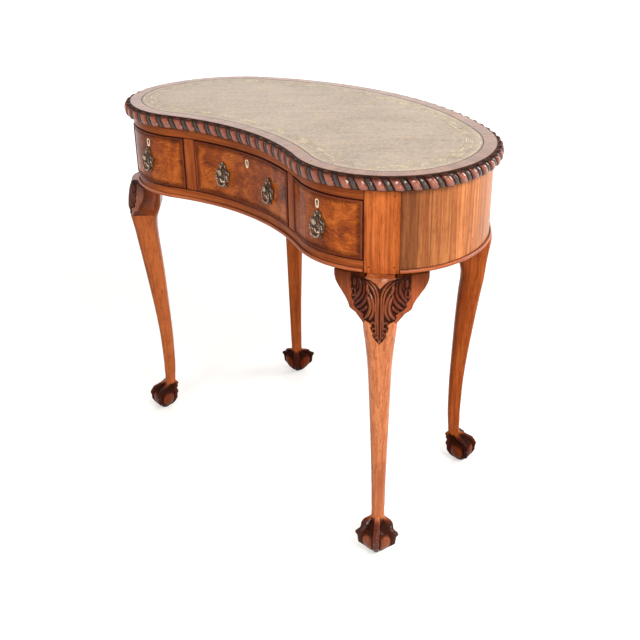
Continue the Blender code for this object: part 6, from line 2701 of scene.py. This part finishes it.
@dataclass
class Studio:
    """Pale floor, soft light and the camera of the photograph."""

    lens: float = 53.38
    sensor: float = 36.0
    view_end: float = 200.0
    position: Triple = (1.3871, -1.23416, 1.2350)
    pan: float = math.radians(48.2215)
    tilt: float = math.radians(26.6085)
    roll: float = -0.01534
    middle: Triple = (0.0, 0.0, 0.62)
    lamps: tuple[Lamp, ...] = (
        Lamp("key_light", -12.0, 36.0, 4.0, 1.15, 90.0, (1.0, 0.97, 0.93)),
        Lamp("front_light", -72.0, 24.0, 3.2, 1.0, 26.0, (1.0, 0.98, 0.96), in_gloss=False),
        Lamp("low_light", 0.0, 3.0, 3.2, 1.1, 11.0, (1.0, 0.98, 0.96)),
        Lamp("side_light", 58.0, 16.0, 3.4, 1.5, 62.0, (1.0, 0.97, 0.94)),
        Lamp("spark_light", -38.0, 12.0, 3.0, 0.62, 14.0, (1.0, 0.98, 0.95)),
        Lamp("back_light", 135.0, 28.0, 5.2, 4.0, 90.0, (1.0, 1.0, 1.0)))
    floor_half: float = 30.0
    floor_level: float = -0.0004
    floor_colour: Colour = (0.74, 0.735, 0.725)
    floor_bounce: Colour = (0.36, 0.34, 0.32)
    floor_glow: Colour = (1.0, 0.99, 0.975)
    glow_reach: Pair = (0.8, 6.0)
    glow_strength: Pair = (0.42, 1.05)
    room_colour: Colour = (1.0, 0.98, 0.96)
    room_strength: float = 0.42

    def build_camera(self) -> Piece:
        """Make the camera at the photograph's viewing angle.

        Returns:
            The new object.
        """
        data = bpy.data.cameras.new("camera")
        data.lens = self.lens
        data.sensor_width = self.sensor
        data.clip_end = self.view_end
        camera = bpy.data.objects.new("camera", data)
        bpy.context.scene.collection.objects.link(camera)
        ahead = Vector((-math.sin(self.pan) * math.cos(self.tilt),
                        math.cos(self.pan) * math.cos(self.tilt), -math.sin(self.tilt)))
        right = ahead.cross(Vector((0, 0, 1))).normalized()
        up = right.cross(ahead)
        c, s = math.cos(self.roll), math.sin(self.roll)
        x_axis, y_axis = right * c + up * s, up * c - right * s
        camera.matrix_world = Matrix.Translation(self.position) @ Matrix(
            (x_axis, y_axis, -ahead)).transposed().to_4x4()
        bpy.context.scene.camera = camera
        return camera

    def build_floor(self) -> Piece:
        """Make the floor, which keeps the desk's soft shadow.

        Returns:
            The new object.
        """
        r, z = self.floor_half, self.floor_level
        mesh = bpy.data.meshes.new("studio_floor")
        mesh.from_pydata([(-r, -r, z), (r, -r, z), (r, r, z), (-r, r, z)], [], [(0, 1, 2, 3)])
        floor = bpy.data.objects.new("studio_floor", mesh)
        bpy.context.scene.collection.objects.link(floor)
        material = bpy.data.materials.new("studio_floor")
        material.use_nodes = True
        material.node_tree.nodes.clear()
        graph = Graph(material.node_tree)
        surface = graph.node("ShaderNodeBsdfDiffuse", Color=rgba(self.floor_colour))
        bounce = graph.node("ShaderNodeBsdfDiffuse", Color=rgba(self.floor_bounce))
        away = graph.length(graph.node("ShaderNodeTexCoord").outputs["Object"])
        strength = graph.span(away, *self.glow_reach, *self.glow_strength)
        glow = graph.node("ShaderNodeEmission", Color=rgba(self.floor_glow), Strength=strength)
        both = graph.node("ShaderNodeAddShader")
        graph.join(surface.outputs[0], both.inputs[0])
        graph.join(glow.outputs[0], both.inputs[1])
        graph.node("ShaderNodeOutputMaterial", Surface=choose_by_ray(graph, bounce, both))
        mesh.materials.append(material)
        return floor

    def build_world(self) -> None:
        """Give the room an even pale light, white behind the desk."""
        world = bpy.data.worlds.new("studio")
        bpy.context.scene.world = world
        world.use_nodes = True
        world.node_tree.nodes.clear()
        graph = Graph(world.node_tree)
        room = graph.node("ShaderNodeBackground", Color=rgba(self.room_colour),
                          Strength=self.room_strength)
        white = graph.node("ShaderNodeBackground", Color=rgba((1.0, 1.0, 1.0)), Strength=1.0)
        graph.node("ShaderNodeOutputWorld", Surface=choose_by_ray(graph, room, white))

    def build(self) -> None:
        """Make the floor, the light and the camera."""
        self.build_floor()
        self.build_world()
        for lamp in self.lamps:
            lamp.build(Vector(self.middle))
        self.build_camera()
        bpy.context.scene.view_settings.view_transform = "Standard"


def dress(piece: Piece, finish: Finish, body: str = ROOT,
          nodes: tuple[str, ...] = ()) -> None:
    """Give a piece its finish and its body, and hide the CAD nodes that it stands for.

    Args:
        piece: The new piece.
        finish: Its finish.
        body: The CAD body that it moves with.
        nodes: CAD nodes that it stands for.
    """
    piece.data.materials.clear()
    piece.data.materials.append(finish.material())
    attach(piece, body)
    if nodes:
        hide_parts(*nodes)
    LOG.info("%s: %d faces, %s, on %s", piece.name, len(piece.data.polygons), finish.name, body)


def dress_node(node: str, finish: Finish) -> None:
    """Give a CAD node that stays its finish.

    Args:
        node: The CAD node.
        finish: Its finish.
    """
    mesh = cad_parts[node].data
    mesh.materials.clear()
    mesh.materials.append(finish.material())
    LOG.info("%s: CAD node kept, %s", node, finish.name)


def main() -> None:
    """Make every sub-assembly of the desk, then the room."""
    logging.basicConfig(level=logging.INFO, format="%(name)s: %(message)s")
    top = TopBoard()
    dress(top.build_board(), BANDING, nodes=("top_board",))
    dress(top.build_leather(), LEATHER, nodes=("leather_panel",))
    front, back = Gadroon().build()
    dress(front, GADROON, nodes=("gadroon_front",))
    dress(back, GADROON, nodes=("gadroon_back",))
    for node, piece in Rails().build().items():
        dress(piece, RAIL, nodes=(node,))
    for node, piece in Frieze().build().items():
        dress(piece, BEAD if node.startswith("base") else VENEER, nodes=(node,))
    for side, word in SIDES:
        # The left front leg gets the darker copy of the walnut, which is painted shade.
        front_leg = LEG if side > 0 else SHADED_LEFT_LEG
        for place, stance, carved, finish in (
                ("front", front_stance(side), True, front_leg),
                ("rear", rear_stance(side), False, SHADED_REAR_LEG)):
            node = f"{place}_{word}_leg"
            leg, stile = CabrioleLeg(f"{node}_dressed", stance, carved).build()
            dress(leg, finish, nodes=(node,))
            dress(stile, POST, nodes=(node,))
        for hand, place in ((-1, "inner"), (1, "outer")):
            node = f"front_{word}_{place}_ear"
            dress(EarBlock(f"{node}_dressed", front_stance(side), hand).build(), SHADED_EAR,
                  nodes=(node,))
        for peg in PostPegs(side, word).build():
            dress(peg, PEG)
    outer = DESK.centre_half + DESK.divider
    drawers = (
        ("left", -DESK.post_face, -outer, -DESK.keyhole_x, (("left", -DESK.side_handle),)),
        ("center", -DESK.centre_half, DESK.centre_half, 0.0,
         (("center_left", -DESK.centre_handle), ("center_right", DESK.centre_handle))),
        ("right", outer, DESK.post_face, DESK.keyhole_x, (("right", DESK.side_handle),)))
    for word, low, high, key, handles in drawers:
        body = f"{word}_drawer"
        face = DrawerFront(word, low, high, key, board=low * 3).build()
        dress(face["veneer"], BURR, body)
        dress(face["bead"], COCKBEAD, body, (f"{word}_cockbead",))
        dress(face["liner"], LINER, body)
        # The near-black plate behind the keyhole is painted shade.
        dress(face["shade_plate"], KEYHOLE_SHADE, body)
        for label, station in handles:
            handle = CastHandle(label, station)
            dress(handle.build_plate(), BRONZE, body, (f"{label}_handle_plate",))
            dress(handle.build_boss(), BRONZE, body, (f"{label}_handle_plate",))
            dress(handle.build_drop(), GILT, f"{label}_drop", (f"{label}_handle_drop",))
        dress_node(f"{word}_drawer_front", CORE)
        for part in ("left_side", "right_side", "back", "bottom"):
            dress_node(f"{word}_drawer_{part}", OAK_LONG if "side" in part else OAK)
        dress_node(f"{word}_lock_case", LOCK)
        dress_node(f"{word}_lock_bolt", LOCK)
    for _, word in SIDES:
        for part in ("guide", "inner_bearer", "outer_bearer"):
            dress_node(f"{word}_{part}", OAK_LONG)
    Studio().build()
    bpy.context.view_layer.update()


if __name__ == "__main__":
    main()
